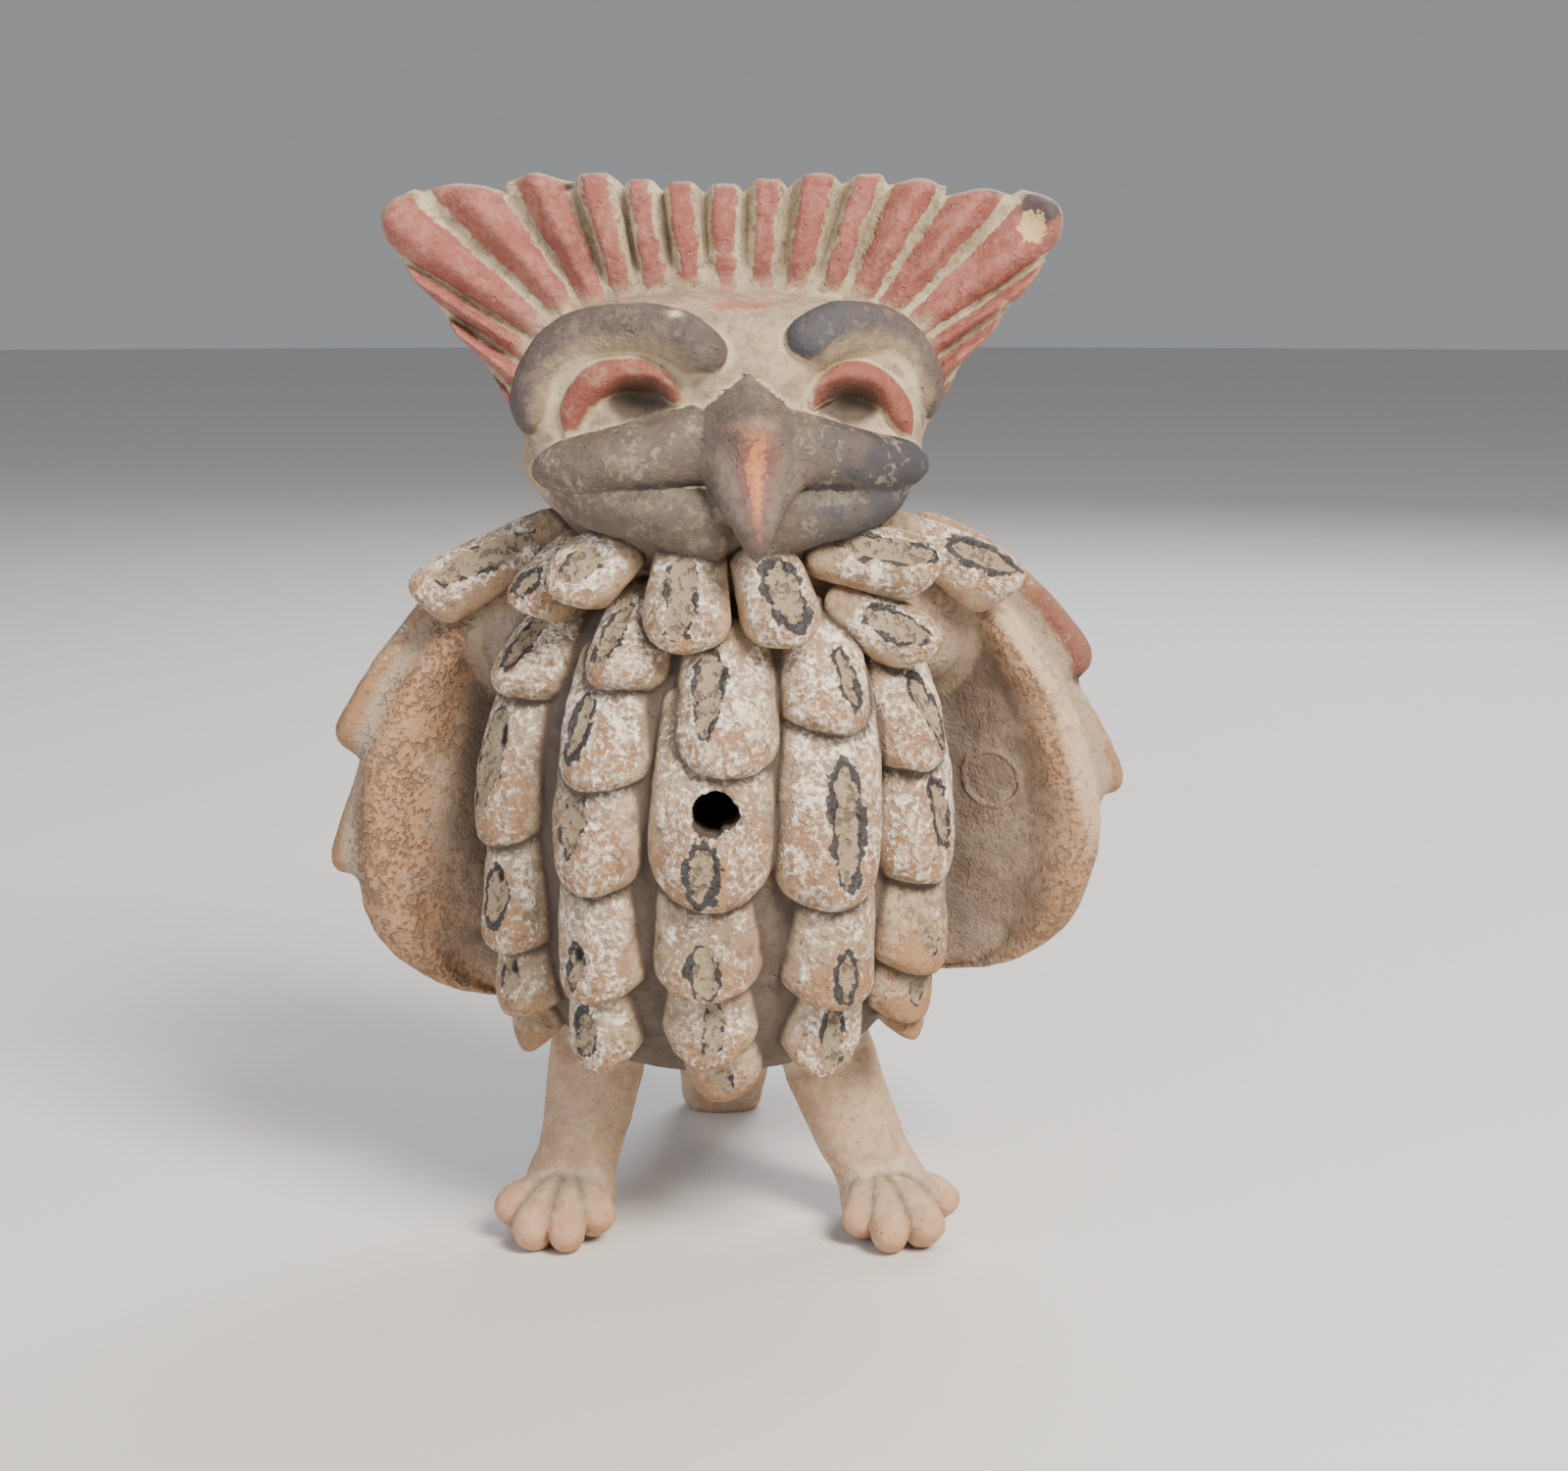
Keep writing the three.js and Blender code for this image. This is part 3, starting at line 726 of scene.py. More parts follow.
@dataclass(frozen=True)
class Collar:
    """The petals that lie over the shoulders and the breast, below the face."""

    petals: tuple[CollarPetal, ...] = (
        CollarPetal((-15, -4.5, 76.4), (-30.4, -5, 67), (-0.45, -0.75, 0.5), 6.8,
                    Oval(0.8, 8.0, 1.3, 5.2, 0, 0.35)),
        CollarPetal((-13, -9, 74.8), (-19.0, -10.5, 67.2), (-0.5, -0.8, 0.3), 7.6,
                    Oval(-0.4, 2.6, 1.2, 1.3, 0, 0.8)),
        CollarPetal((-9, -14, 75.3), (-15.2, -14.6, 69.3), (-0.35, -0.9, 0.25), 8.0,
                    Oval(0.2, 3.4, 1.4, 1.8, 0, 0.7)),
        CollarPetal((-3.2, -16, 75), (-3.8, -19, 64.4), (-0.1, -0.95, 0.25), 8.6,
                    Oval(-0.2, 5.0, 1.5, 4.0, 0, 0.6)),
        CollarPetal((3, -15.6, 75), (6.2, -18.2, 65), (0.2, -0.95, 0.25), 8.2,
                    Oval(0.4, 4.6, 1.6, 3.4, 0, 0.9)),
        CollarPetal((8, -13.5, 74), (20.2, -11.5, 71.2), (0.25, -0.9, 0.35), 7.4,
                    Oval(0.4, 5.4, 1.3, 4.4, 0, 0.6)),
        CollarPetal((16, -6, 75.6), (28.6, -5, 68.4), (0.45, -0.75, 0.5), 7.2,
                    Oval(0, 4.6, 1.3, 3.2, 0, 0.8)),
        CollarPetal((10, -13.5, 68.6), (19.6, -10.8, 63.6), (0.45, -0.85, 0.15), 6.8,
                    Oval(0, 4.6, 1.5, 2.8, 0, 0.7)),
    )

    def surfaces(self) -> list[Surface]:
        """Every petal of the collar."""
        return [p.petal(f"collar_petal_{i}").surface() for i, p in enumerate(self.petals, 1)]


@dataclass(frozen=True)
class WingPetal:
    """A petal on the back of a wing: angle down it and share of its reach, at root and tip.

    Where the wing's tips are reddened, red says how much of that falls on this one.
    """

    root: Pair
    tip: Pair
    width: float
    red: float = 0.0


@dataclass(frozen=True)
class Wing:
    """A cupped wing: it hangs from the shoulder, is widest below its middle, and curls forward.

    Attributes:
        middle: Height of its middle.
        raised: How much higher the petals on its back lie, in degrees.
        tip_red: How red the tips of its petals are, from 0 to 1.
        inner: Where its reach starts, across from the middle of the figure.
        sag: How much fuller it is below its middle, as a share.
        slim: How much slimmer it is near its top, as a share.
        curl: Power of the share of the reach with which it comes forward.
        fullness: Power of its section: below 1 it is squarer than an ellipse.
        band: Share of its reach at which the orange band starts.
        pale: Share of its reach at which the pale rim, a painted highlight, starts.
        scar: Share of its reach, and angle down, of a raised ring's middle.
    """

    name: str
    side: int
    middle: float
    half: float
    raised: float = 0.0
    tip_red: float = 0.0
    inner: float = 13.0
    reach: float = 24.6
    sag: float = 0.165
    slim: float = 0.14
    thick: float = 4.3
    back_y: float = 7.0
    rim_y: float = -7.0
    curl: float = 1.7
    fullness: float = 0.72
    dish: float = 1.5
    band: float = 0.66
    pale: float = 1.02
    scar: Pair | None = None
    scar_radius: float = 2.9
    rows: int = 74
    columns: int = 84
    petals: tuple[WingPetal, ...] = (
        WingPetal((22, 0.84), (83, 0.95), 9.0, 1.0),
        WingPetal((70, 0.82), (113, 0.93), 8.4),
        WingPetal((96, 0.58), (133, 0.82), 8.4),
        WingPetal((44, 0.28), (86, 0.62), 9.0),
        WingPetal((78, 0.3), (113, 0.6), 9.0),
        WingPetal((102, 0.26), (140, 0.5), 8.6),
    )

    def at(self, down: Array, share: Array, depth: Array) -> tuple[Array, Array]:
        """A point of the wing, and the direction out of its back.

        The reach is the root of the sine of the angle down, fuller below and slimmer above. The
        middle sheet swings forward with a power of the share, and the thickness is square to it.

        Args:
            down: Angles down from the wing's top, in degrees.
            share: Shares of the reach, from the body to the rim.
            depth: Places through the wing, from -1 at its front to 1 at its back.
        """
        down, share, depth = np.broadcast_arrays(down, share, depth)
        angle = np.radians(down)
        full = np.clip(np.sin(angle), 0, None)
        reach = self.reach * np.sqrt(full) * (1 - self.sag * np.cos(angle))
        reach = reach * (1 - self.slim * smooth_step(80, 35, down))
        swing = self.rim_y - self.back_y
        slope = swing * self.curl * share ** (self.curl - 1) * full / np.maximum(reach, 0.01)
        out = unit(joined(-slope * self.side, 1.0, 0.0))
        point = joined(
            self.side * (self.inner + reach * share),
            self.back_y + swing * share**self.curl * full,
            self.middle + self.half * np.cos(angle),
        )
        return point + out * (depth * self.thick * full**0.4)[..., None], out

    def pad(self) -> Surface:
        """The wing itself: a squarish oval section, dished in front, with the scar's welt on it."""
        down = np.linspace(0, 180, self.rows + 1)[:, None]
        turn = np.linspace(0, 2 * np.pi, self.columns, endpoint=False)[None]
        share = 0.5 + 0.5 * signed_power(np.cos(turn), self.fullness)
        depth = signed_power(np.sin(turn), self.fullness)
        points, out = self.at(down, share, depth)
        dish = smooth_step(0.95, 0.78, share) * smooth_step(0.0, 0.9, -depth)
        dish = dish * smooth_step(0, 0.25, np.sin(np.radians(down)))
        points = points + out * (self.dish * dish)[..., None]
        # Both rims are alike below their middles.
        pale = mix(self.pale, 1.02, smooth_step(90, 125, down))
        charts = {
            Chart.PLACE: joined(share, np.zeros_like(down)),
            Chart.WEAR: joined(np.full_like(share, self.band), pale),
        }
        if self.scar:
            arm = np.radians(down - self.scar[1]) * self.half
            place = joined((share - self.scar[0]) * self.reach, arm)
            radius = np.linalg.norm(place, axis=-1) / self.scar_radius
            welt = np.exp(-(((radius - 1) / 0.2) ** 2)) * (depth < 0)
            points = points - out * (0.2 * welt)[..., None]
            charts[Chart.PIT] = place
        return Surface(f"{self.name}_wing", Finish.WING, points, charts, Join.MAIN)

    def surfaces(self) -> list[Surface]:
        """The wing and the petals on its back."""
        made = [self.pad()]
        for i, placed in enumerate(self.petals, 1):
            share = np.array([0, 0.5, 1])
            down = mix(placed.root[0], placed.tip[0], share) - self.raised
            points, out = self.at(down, mix(placed.root[1], placed.tip[1], share), np.array(0.75))
            made.append(
                Petal(
                    name=f"{self.name}_wing_petal_{i}",
                    stations=points,
                    ups=out[[0, 2]],
                    width=placed.width,
                    thick=1.9,
                    slip=0.55,
                    rust=0.9,
                    edge=0.8,
                    red=placed.red * self.tip_red,
                    join=Join.DRAWN,
                    rows=32,
                    crown_columns=22,
                ).surface()
            )
        return made


@dataclass(frozen=True)
class Arch:
    """Part of a rounded arch on the face.

    Attributes:
        x: Its middle, measured across the face towards the eye's own side.
        reach: Half its width.
        start: The turn at its outer end, in degrees up from level.
        end: The turn at its inner end.
        square: 1 for an ellipse, and less for squarer shoulders.
    """

    x: float
    z: float
    reach: float
    rise: float
    start: float
    end: float
    square: float = 1.0

    def at(self, share: Array) -> tuple[Array, Array]:
        """Places across and up the face: cosine and sine of the turn, each raised to a power."""
        turn = np.radians(mix(self.start, self.end, share))
        x = self.x + self.reach * signed_power(np.cos(turn), self.square)
        return x, self.z + self.rise * signed_power(np.sin(turn), self.square)


@dataclass(frozen=True)
class Eye:
    """One eye: its brow and lid, the middle of its pupil, and how blue its brow is."""

    side: int
    brow: Arch
    lid: Arch
    pupil: Pair
    blue: float

    @property
    def name(self) -> str:
        """The side of the face in the front view."""
        return "left" if self.side < 0 else "right"


@dataclass(frozen=True)
class Jaw:
    """A padded wedge from the beak to the cheek: places and half widths at both its ends."""

    name: str
    inner: Point
    outer: Point
    height: float
    flare: float
    mouth: int
    finish: Finish


@dataclass(frozen=True)
class Head:
    """The skull, a rounded box, and the face on it, which is turned a little to one side."""

    middle: Point = (-0.4, -2.0, 84.5)
    half: Point = (20.4, 16.5, 14.5)
    power: float = 3.0
    turn: float = 7.0
    chin: float = 0.18
    socket: float = 1.9
    # Half width, height over the skull and depth in it.
    brow_size: Point = (2.7, 2.4, 2.5)
    lid_size: Point = (2.1, 1.7, 2.0)
    # Half width, half height and depth.
    pupil: Point = (4.1, 2.7, 2.7)
    eyes: tuple[Eye, ...] = (
        Eye(-1, Arch(10.0, 2.0, 9.2, 9.0, -8, 150, 0.85), Arch(10.8, 1.3, 6.0, 5.7, -18, 158),
            (9.9, 4.2), 0.2),
        Eye(1, Arch(12.0, 2.2, 7.6, 8.8, -2, 142, 0.85), Arch(12.5, 1.1, 5.5, 5.3, -18, 158),
            (12.0, 3.9), 0.85),
    )
    jaws: tuple[Jaw, ...] = (
        Jaw("upper", (2, -0.2, 4.7), (19.2, -3.0, 2.9), 2.7, 2.0, -1, Finish.JAW),
        Jaw("lower", (1, -8.5, 3.9), (18.6, -6.2, 2.6), 2.3, 1.0, 1, Finish.LIP),
    )

    def on_face(self, x: Array, z: Array) -> tuple[Array, Array]:
        """A point on the front of the skull, and the direction out of it, before the turn.

        The front is where the three shares of the half sizes, each cubed, add up to one, and the
        outward direction is the slope of that sum. The sockets are sunk in it.
        """
        a, b, c = self.half
        left = 1 - np.abs(x / a) ** self.power - np.abs(z / c) ** self.power
        point = joined(x, -b * np.maximum(0.004, left) ** (1 / self.power), z)
        out = self.out(point)
        return point + out * self.relief(x, z)[..., None], out

    def out(self, point: Array) -> Array:
        """The direction out of the skull at some points of it."""
        half = np.array(self.half)
        return unit(signed_power(point / half, self.power - 1) / half)

    def placed(self, points: Array) -> Array:
        """Points of the face, narrowed towards the chin, turned and put on the neck."""
        cosine, sine = math.cos(math.radians(self.turn)), math.sin(math.radians(self.turn))
        spin = np.array([[cosine, -sine, 0], [sine, cosine, 0], [0, 0, 1]])
        narrow = 1 - self.chin * smooth_step(-3, -11, points[..., 2:])
        narrowed = np.concatenate([points[..., :1] * narrow, points[..., 1:]], -1)
        return narrowed @ spin.T + np.array(self.middle)

    def relief(self, x: Array, z: Array) -> Array:
        """How far the front of the skull is sunk at the sockets: dishes within the brows."""
        sunk = np.zeros_like(x)
        for eye in self.eyes:
            brow = eye.brow
            radius = np.hypot(
                (x - eye.side * brow.x) / (brow.reach - 0.4), (z - brow.z) / (brow.rise - 0.4)
            )
            sunk -= self.socket * (1 - smooth_step(0.66, 1.0, radius)) * smooth_step(-2.5, 1.5, z)
        return sunk

    def skull(self) -> Surface:
        """The skull, with the relief of the face on its front."""
        points = rounded_box((0, 0, 0), self.half, self.power, 84, 132)
        x, z = points[..., 0], points[..., 2]
        front = smooth_step(2, -4, points[..., 1])
        points = points + self.out(points) * (self.relief(x, z) * front)[..., None]
        charts = {Chart.PLACE: joined(x, z)}
        return Surface("skull", Finish.FACE, self.placed(points), charts, Join.MAIN)

    def strip(
        self,
        name: str,
        finish: Finish,
        line: tuple[Array, Array],
        sizes: tuple[Array, Array, Array],
        blue: float,
        dark_side: int,
        join: Join = Join.PRESSED,
    ) -> Surface:
        """A raised strip laid on the face along a line.

        Args:
            name: The strip's name.
            finish: Its finish.
            line: The line's places across and up the face.
            sizes: Its half widths, its heights above the skull and its depths below.
            blue: How blue its paint is, from 0 to 1.
            dark_side: 1 where its darker edge lies across the line, and -1 on the other side.
            join: How it is joined.
        """
        point, out = self.on_face(*line)
        ahead = np.gradient(point, axis=0)
        section = Section.superellipse(24, 6, 2.2)
        points = section.carried(PathFrame.along(point, ahead, out), *sizes, 0.45)
        place = joined(section.side * dark_side, np.linspace(0, 1, len(point))[:, None])
        charts = {Chart.PLACE: place, Chart.TINT: np.full_like(place, blue)}
        return Surface(name, finish, self.placed(points), charts, join)

    def brow(self, eye: Eye) -> Surface:
        """A brow: an even band that arches from the temple to the beak."""
        share = closer_at_ends(60)
        x, z = eye.brow.at(share)
        full = round_ends(share, 0.1, 0.12)
        sizes = tuple(size * full for size in self.brow_size)
        line = (eye.side * x, z)
        return self.strip(f"{eye.name}_brow", Finish.BROW, line, sizes, eye.blue, eye.side)

    def lid(self, eye: Eye) -> Surface:
        """An upper lid: a crescent that thins to both ends with the root of a sine."""
        share = closer_at_ends(44)
        x, z = eye.lid.at(share)
        full = np.sin(np.pi * share).clip(0) ** 0.5
        sizes = tuple(size * full for size in self.lid_size)
        line = (eye.side * x, z)
        return self.strip(f"{eye.name}_lid", Finish.LID, line, sizes, 0.0, eye.side)

    def jaw(self, side: int, jaw: Jaw) -> Surface:
        """One jaw on one side of the beak.

        Its half width falls from the beak to the cheek with a power of the share left to go.
        """
        share = closer_at_ends(48)
        full = round_ends(share, 0.1, 0.16)
        line = (
            side * mix(jaw.inner[0], jaw.outer[0], share),
            mix(jaw.inner[1], jaw.outer[1], share),
        )
        half = mix(jaw.outer[2], jaw.inner[2], (1 - share) ** jaw.flare) * full
        sizes = (half, jaw.height * full * mix(1, 0.8, share), 2.5 * full)
        name = f"{'left' if side < 0 else 'right'}_{jaw.name}_jaw"
        blue = 0.25 if side < 0 else 1.0
        return self.strip(name, jaw.finish, line, sizes, blue, -side * jaw.mouth, Join.JAW)

    def beak(self) -> Surface:
        """The hooked beak: a swelling wedge that ends in a blunt point hanging over the mouth."""
        x, top, tip, hook = 1.1, 6.6, -9.8, 7.5
        share = closer_at_ends(60)
        ends = self.on_face(np.array([x, x]), np.array([top, 0.5 * (top + tip)]))[0]
        point = np.array([x, -self.half[1] - hook, tip])
        front = unit(np.array([0, -1, 0.1]))
        path = PathFrame.bow(np.stack([*ends, point]), np.stack([front, front]), share)
        swell = np.sin(np.pi * share**0.9) ** 0.9
        tip_full = round_ends(share, 0.1, 0.14)
        half = mix(6.0 * swell, 2.3 * tip_full, share**4)
        above = mix(6.8 * swell * (1 - 0.5 * share), 1.9 * tip_full, share**4)
        section = Section.superellipse(32, 12, 1.75)
        points = section.carried(path, half, above, 2 + 5 * share * swell)
        points[0], points[-1] = points[0].mean(0), points[-1].mean(0)
        along = share[:, None]
        charts = {
            Chart.PLACE: joined(section.side, along),
            Chart.WEAR: joined(section.crown, along),
        }
        return Surface("beak", Finish.BEAK, self.placed(points), charts, Join.BEAK)

    def surfaces(self) -> list[Surface]:
        """The skull and everything raised on it."""
        made = [self.skull(), self.beak()]
        for eye in self.eyes:
            made += [self.brow(eye), self.lid(eye)]
            made += [self.jaw(eye.side, jaw) for jaw in self.jaws]
        return made

    def pupils(self) -> list["Spot"]:
        """The pupils, pressed into the sockets."""
        x = np.array([eye.side * eye.pupil[0] for eye in self.eyes])
        z = np.array([eye.pupil[1] for eye in self.eyes])
        places = self.placed(self.on_face(x, z)[0])
        return [Spot(Mark.HOLE, place[0], place[2], *self.pupil) for place in places]


@dataclass(frozen=True)
class Crest:
    """The fan crest: a slab between the top of the head and its outline, with ribs on it.

    Attributes:
        pitches: Width of each rib with its groove along the outline, from the left to the right.
        worn: How far the outline is worn down at each rib.
        groove_wear: How much lower the outline is in a groove.
        wide_pitches: A rib is flat up to the first of these pitches, and round from the second.
        flat_edge: Where a flat rib's shoulder lies, as shares of its pitch.
        taper: Thickness at the root and at the rim, as shares of thick.
        painted: Half the painted width of a flat and of a round rib, as shares of its pitch.
    """

    y: float = -2.5
    pitches: tuple[float, ...] = (
        6.5, 6.9, 9.0, 9.3, 6.8, 5.1, 4.1, 4.5, 4.5, 4.4, 5.4, 4.6, 6.1, 7.8, 9.5, 6.2, 7.0,
    )
    worn: tuple[float, ...] = (
        0.0, 0.1, 0.4, 1.1, 0.1, 0.2, 0.9, 1.2, 1.6, 1.0, 0.3, 0.1, 0.4, 1.6, 0.8, 0.3, 0.5,
    )
    foot: float = 3.6
    root_half: float = 19.0
    root_low: float = 80.0
    root_rise: float = 17.5
    thick: float = 3.1
    rib: float = 2.1
    groove_wear: float = 0.9
    wide_pitches: Pair = (4.8, 6.6)
    flat_edge: Pair = (0.24, 0.48)
    taper: Pair = (1.15, 0.85)
    painted: Pair = (0.28, 0.39)
    side_foot: Pair = (23.2, 89.6)
    tip_low: Pair = (35.0, 104.6)
    tip_corner: Pair = (35.8, 109.6)
    tip_high: Pair = (30.0, 110.4)
    top_middle: Pair = (0.0, 111.2)
    rows: int = 230
    front_columns: int = 44
    edge_columns: int = 8
    back_columns: int = 16

    def outline(self, share: Array) -> Array:
        """Points of one side's outline, by the share of its length from its foot to the middle.

        It is a straight side, a rounded corner, which is a parabola, and a straight top.
        """
        foot, low, corner, high, middle = (
            np.array(p)
            for p in (self.side_foot, self.tip_low, self.tip_corner, self.tip_high, self.top_middle)
        )
        step = np.linspace(0, 1, 60)[:, None]
        bend = (1 - step) ** 2 * low + 2 * step * (1 - step) * corner + step**2 * high
        line = np.concatenate([foot[None], bend, middle[None]])
        length = np.concatenate([[0], np.cumsum(np.linalg.norm(np.diff(line, axis=0), axis=1))])
        length /= length[-1]
        return np.stack([np.interp(share, length, line[:, i]) for i in (0, 1)], -1)

    def section(self) -> tuple[Array, Array]:
        """How far out and how deep each column lies: up the front, over the edge, down the back."""
        turn = np.linspace(-0.5 * np.pi, 0.5 * np.pi, self.edge_columns + 2)[1:-1]
        edge = 0.07
        front = np.linspace(0, 1 - edge, self.front_columns)
        back = np.linspace(1 - edge, 0, self.back_columns)
        out = np.concatenate([front, 1 - edge + edge * np.cos(turn), back])
        depth = np.concatenate([-np.ones_like(front), np.sin(turn), np.ones_like(back)])
        return out, depth

    def rib_at(self, place: Array) -> Array:
        """Which rib a place of the outline lies on: whole in a rib's middle, half in a groove.

        Args:
            place: From -1 at the left foot, through 0 on the middle rib, to 1 at the right foot.
        """
        edges = np.concatenate([[0], np.cumsum(self.pitches)])
        count = len(self.pitches)
        edges -= 0.5 * (edges[count // 2] + edges[count // 2 + 1])
        edges = np.concatenate([[edges[0] - self.foot], edges, [edges[-1] + self.foot]])
        edges = np.where(edges < 0, edges / -edges[0], edges / edges[-1])
        half = 0.5 * count
        knots = np.concatenate([[-half - 0.5], np.linspace(-half, half, count + 1), [half + 0.5]])
        return np.interp(place, edges, knots)

    def surface(self) -> Surface:
        """The crest.

        Each row is a line from the top of the head to the outline. A rib stands out and a groove
        is sunk by half the rib's height, less near the root. Narrow ribs are flat and wide ones
        round. The outline is notched at each groove and worn down by rib.
        """
        place = np.linspace(-1, 1, self.rows + 1)[:, None]
        rib = self.rib_at(place)
        last = len(self.pitches) // 2
        number = np.clip(np.round(rib), -last, last).astype(int) + last
        pitch, worn = np.array(self.pitches)[number], np.array(self.worn)[number]
        rim = self.outline(1 - np.abs(place))
        rim[..., 0] *= np.where(place < 0, -1, 1)
        share = np.abs(rib) / (last + 1)
        turn = 0.5 * np.pi * share
        root = joined(
            np.sign(rib) * self.root_half * np.sin(turn),
            self.root_low + self.root_rise * np.clip(np.cos(turn), 0, None) ** 0.4,
        )
        closing = np.sqrt(np.clip(1 - share**24, 0, None))
        off = np.abs(rib - np.round(rib))
        wide = smooth_step(*self.wide_pitches, pitch)
        flat, round_top = 1 - smooth_step(*self.flat_edge, off), 0.5 + 0.5 * np.cos(2 * np.pi * off)
        ridge = mix(flat, round_top, wide)
        out, depth = self.section()
        length = np.linalg.norm(rim - root, axis=-1)
        wear = worn + self.groove_wear * (1 - ridge)
        reach = mix(0.5, out, closing) * (1 - wear / length * smooth_step(0.6, 1, out))
        spot = mix(root, rim, reach[..., None])
        relief = self.rib * (ridge - 0.5) * np.minimum(1, 2 * out) * np.where(depth < 0, 1, 0.6)
        thick = (self.thick * mix(*self.taper, out) + relief) * closing
        points = joined(spot[..., 0], self.y + depth * thick, spot[..., 1])
        inside_paint = (mix(*self.painted, wide) - off) * pitch * mix(0.6, 1, out)
        charts = {Chart.PLACE: joined(rib, out), Chart.WEAR: joined(inside_paint, depth)}
        return Surface("crest", Finish.RIB, points, charts, Join.MAIN)


@dataclass(frozen=True)
class Leg:
    """A leg with a four-toed foot, given by its joints from the hip to the sole."""

    name: str
    joints: tuple[Point, Point, Point, Point]
    toe_turn: float
    toe_lows: tuple[float, ...]
    fan: tuple[float, ...] = (-50.0, -17.0, 15.0, 48.0)
    toe_reaches: tuple[float, ...] = (7.4, 8.6, 8.6, 7.4)
    hip: float = 5.6
    ankle: float = 4.4
    spread: float = 4.5
    depth: float = 4.6
    toe_half: float = 2.05
    toe_high: float = 3.8
    toe_depth: float = 3.4

    def bone(self, share: Array) -> tuple[Array, Array]:
        """The cubic through the four joints, and the direction along it."""
        knots = np.linspace(0, 1, 4)
        curve = np.polyfit(knots, np.array(self.joints), 3)
        point = sum(c * share[:, None] ** (3 - i) for i, c in enumerate(curve))
        return point, np.gradient(point, share, axis=0)

    def shin(self) -> Surface:
        """The leg, which tapers to the ankle, then spreads and thins into the foot."""
        share = closer_at_ends(54)
        point, ahead = self.bone(share)
        full = round_ends(share, 0.1, 0.14)
        taper = mix(self.hip, self.ankle, np.minimum(1, share * 1.7))
        half = taper + self.spread * np.clip(share - 0.65, 0, 1)
        above = self.ankle * (1 - 0.5 * smooth_step(0.72, 1, share)) * full
        path = PathFrame.along(point, ahead, np.array([0.0, -1.0, 0.0]))
        section = Section.superellipse(18, 18, 2.3)
        points = section.carried(path, half * full, above, self.depth * full)
        return Surface(self.name, Finish.BARE, points, join=Join.MAIN)

    def toe(self, number: int, degrees: float) -> Surface:
        """One toe, which arches from the ankle to the ground and swells to its tip."""
        turn = math.radians(degrees + self.toe_turn)
        reach, low = self.toe_reaches[number - 1], self.toe_lows[number - 1]
        ankle, foot = np.array(self.joints[2]), np.array(self.joints[3])
        root = ankle + np.array([0, 0.5, -2.0])
        x, y = foot[0] + math.sin(turn) * reach * 0.9, foot[1] - math.cos(turn) * reach
        tip = np.array([x, y, low])
        middle = mix(root, tip, 0.55)
        middle[2] = self.toe_high + 0.5 * low
        share = closer_at_ends(28)
        full = round_ends(share, 0.1, 0.17)
        upward = np.array([0.0, 0.0, 1.0])
        path = PathFrame.bow(np.stack([root, middle, tip]), np.stack([upward, upward]), share)
        size = self.toe_half * full * mix(0.72, 1, smooth_step(0.3, 0.85, share))
        section = Section.superellipse(16, 8, 2.1)
        points = section.carried(path, size, size, self.toe_depth * full)
        charts = {Chart.WEAR: joined(np.zeros_like(section.side), share[:, None] ** 2)}
        return Surface(f"{self.name}_toe_{number}", Finish.BARE, points, charts, Join.DRAWN)

    def surfaces(self) -> list[Surface]:
        """The leg and its toes."""
        return [self.shin(), *(self.toe(i, angle) for i, angle in enumerate(self.fan, 1))]


@dataclass(frozen=True)
class Blowpipe:
    """The tail that is blown: a flattened tube that slopes from the body's back to the ground."""

    root: Point = (-0.6, 12.0, 33.0)
    bend: Point = (-1.1, 25.0, 17.6)
    end: Point = (-1.7, 38.0, -1.6)
    blown: Point = (-1.7, 41.0, -0.6)
    sounding: Point = (-0.6, 16.5, 29.5)
    window: tuple[Point, Point] = ((-0.6, 12.0, 31.6), (-0.6, 28.0, 31.6))
    half_widths: Pair = (8.6, 4.7)
    half_depths: Pair = (5.4, 3.8)
    windway_size: Pair = (4.6, 1.6)
    window_size: Pair = (6.2, 5.2)

    def tube(self) -> Surface:
        """The tail."""
        share = closer_at_ends(44)
        upward = unit(np.array([0, 0.5, 1.0]))
        stations = np.array([self.root, self.bend, self.end])
        path = PathFrame.bow(stations, np.stack([upward, upward]), share)
        full = round_ends(share, 0.12, 0.1)
        thick, half = (mix(*ends, share) * full for ends in (self.half_depths, self.half_widths))
        section = Section.superellipse(20, 20, 2.4)
        points = section.carried(path, half, thick, thick)
        return Surface("blowpipe", Finish.BARE, points, join=Join.MAIN)

    @staticmethod
    def bar(name: str, ends: tuple[Point, Point], size: Pair) -> Surface:
        """A square-edged bar between two points, as wide and high as size, to be cut out."""
        share = closer_at_ends(30)
        start, finish = np.array(ends[0]), np.array(ends[1])
        point = start + (finish - start) * share[:, None]
        ahead = np.broadcast_to(finish - start, point.shape)
        path = PathFrame.along(point, ahead, np.array([0.0, 0.0, 1.0]))
        full = round_ends(share, 0.02, 0.02)
        section = Section.superellipse(14, 14, 7)
        half, rise = (0.5 * across * full for across in size)
        points = section.carried(path, half, rise, rise)
        return Surface(name, Finish.INSIDE, points)

    def cuts(self) -> list[Surface]:
        """The windway that is blown through, and the window that it sounds in."""
        return [
            self.bar("windway", (self.blown, self.sounding), self.windway_size),
            self.bar("window", self.window, self.window_size),
        ]


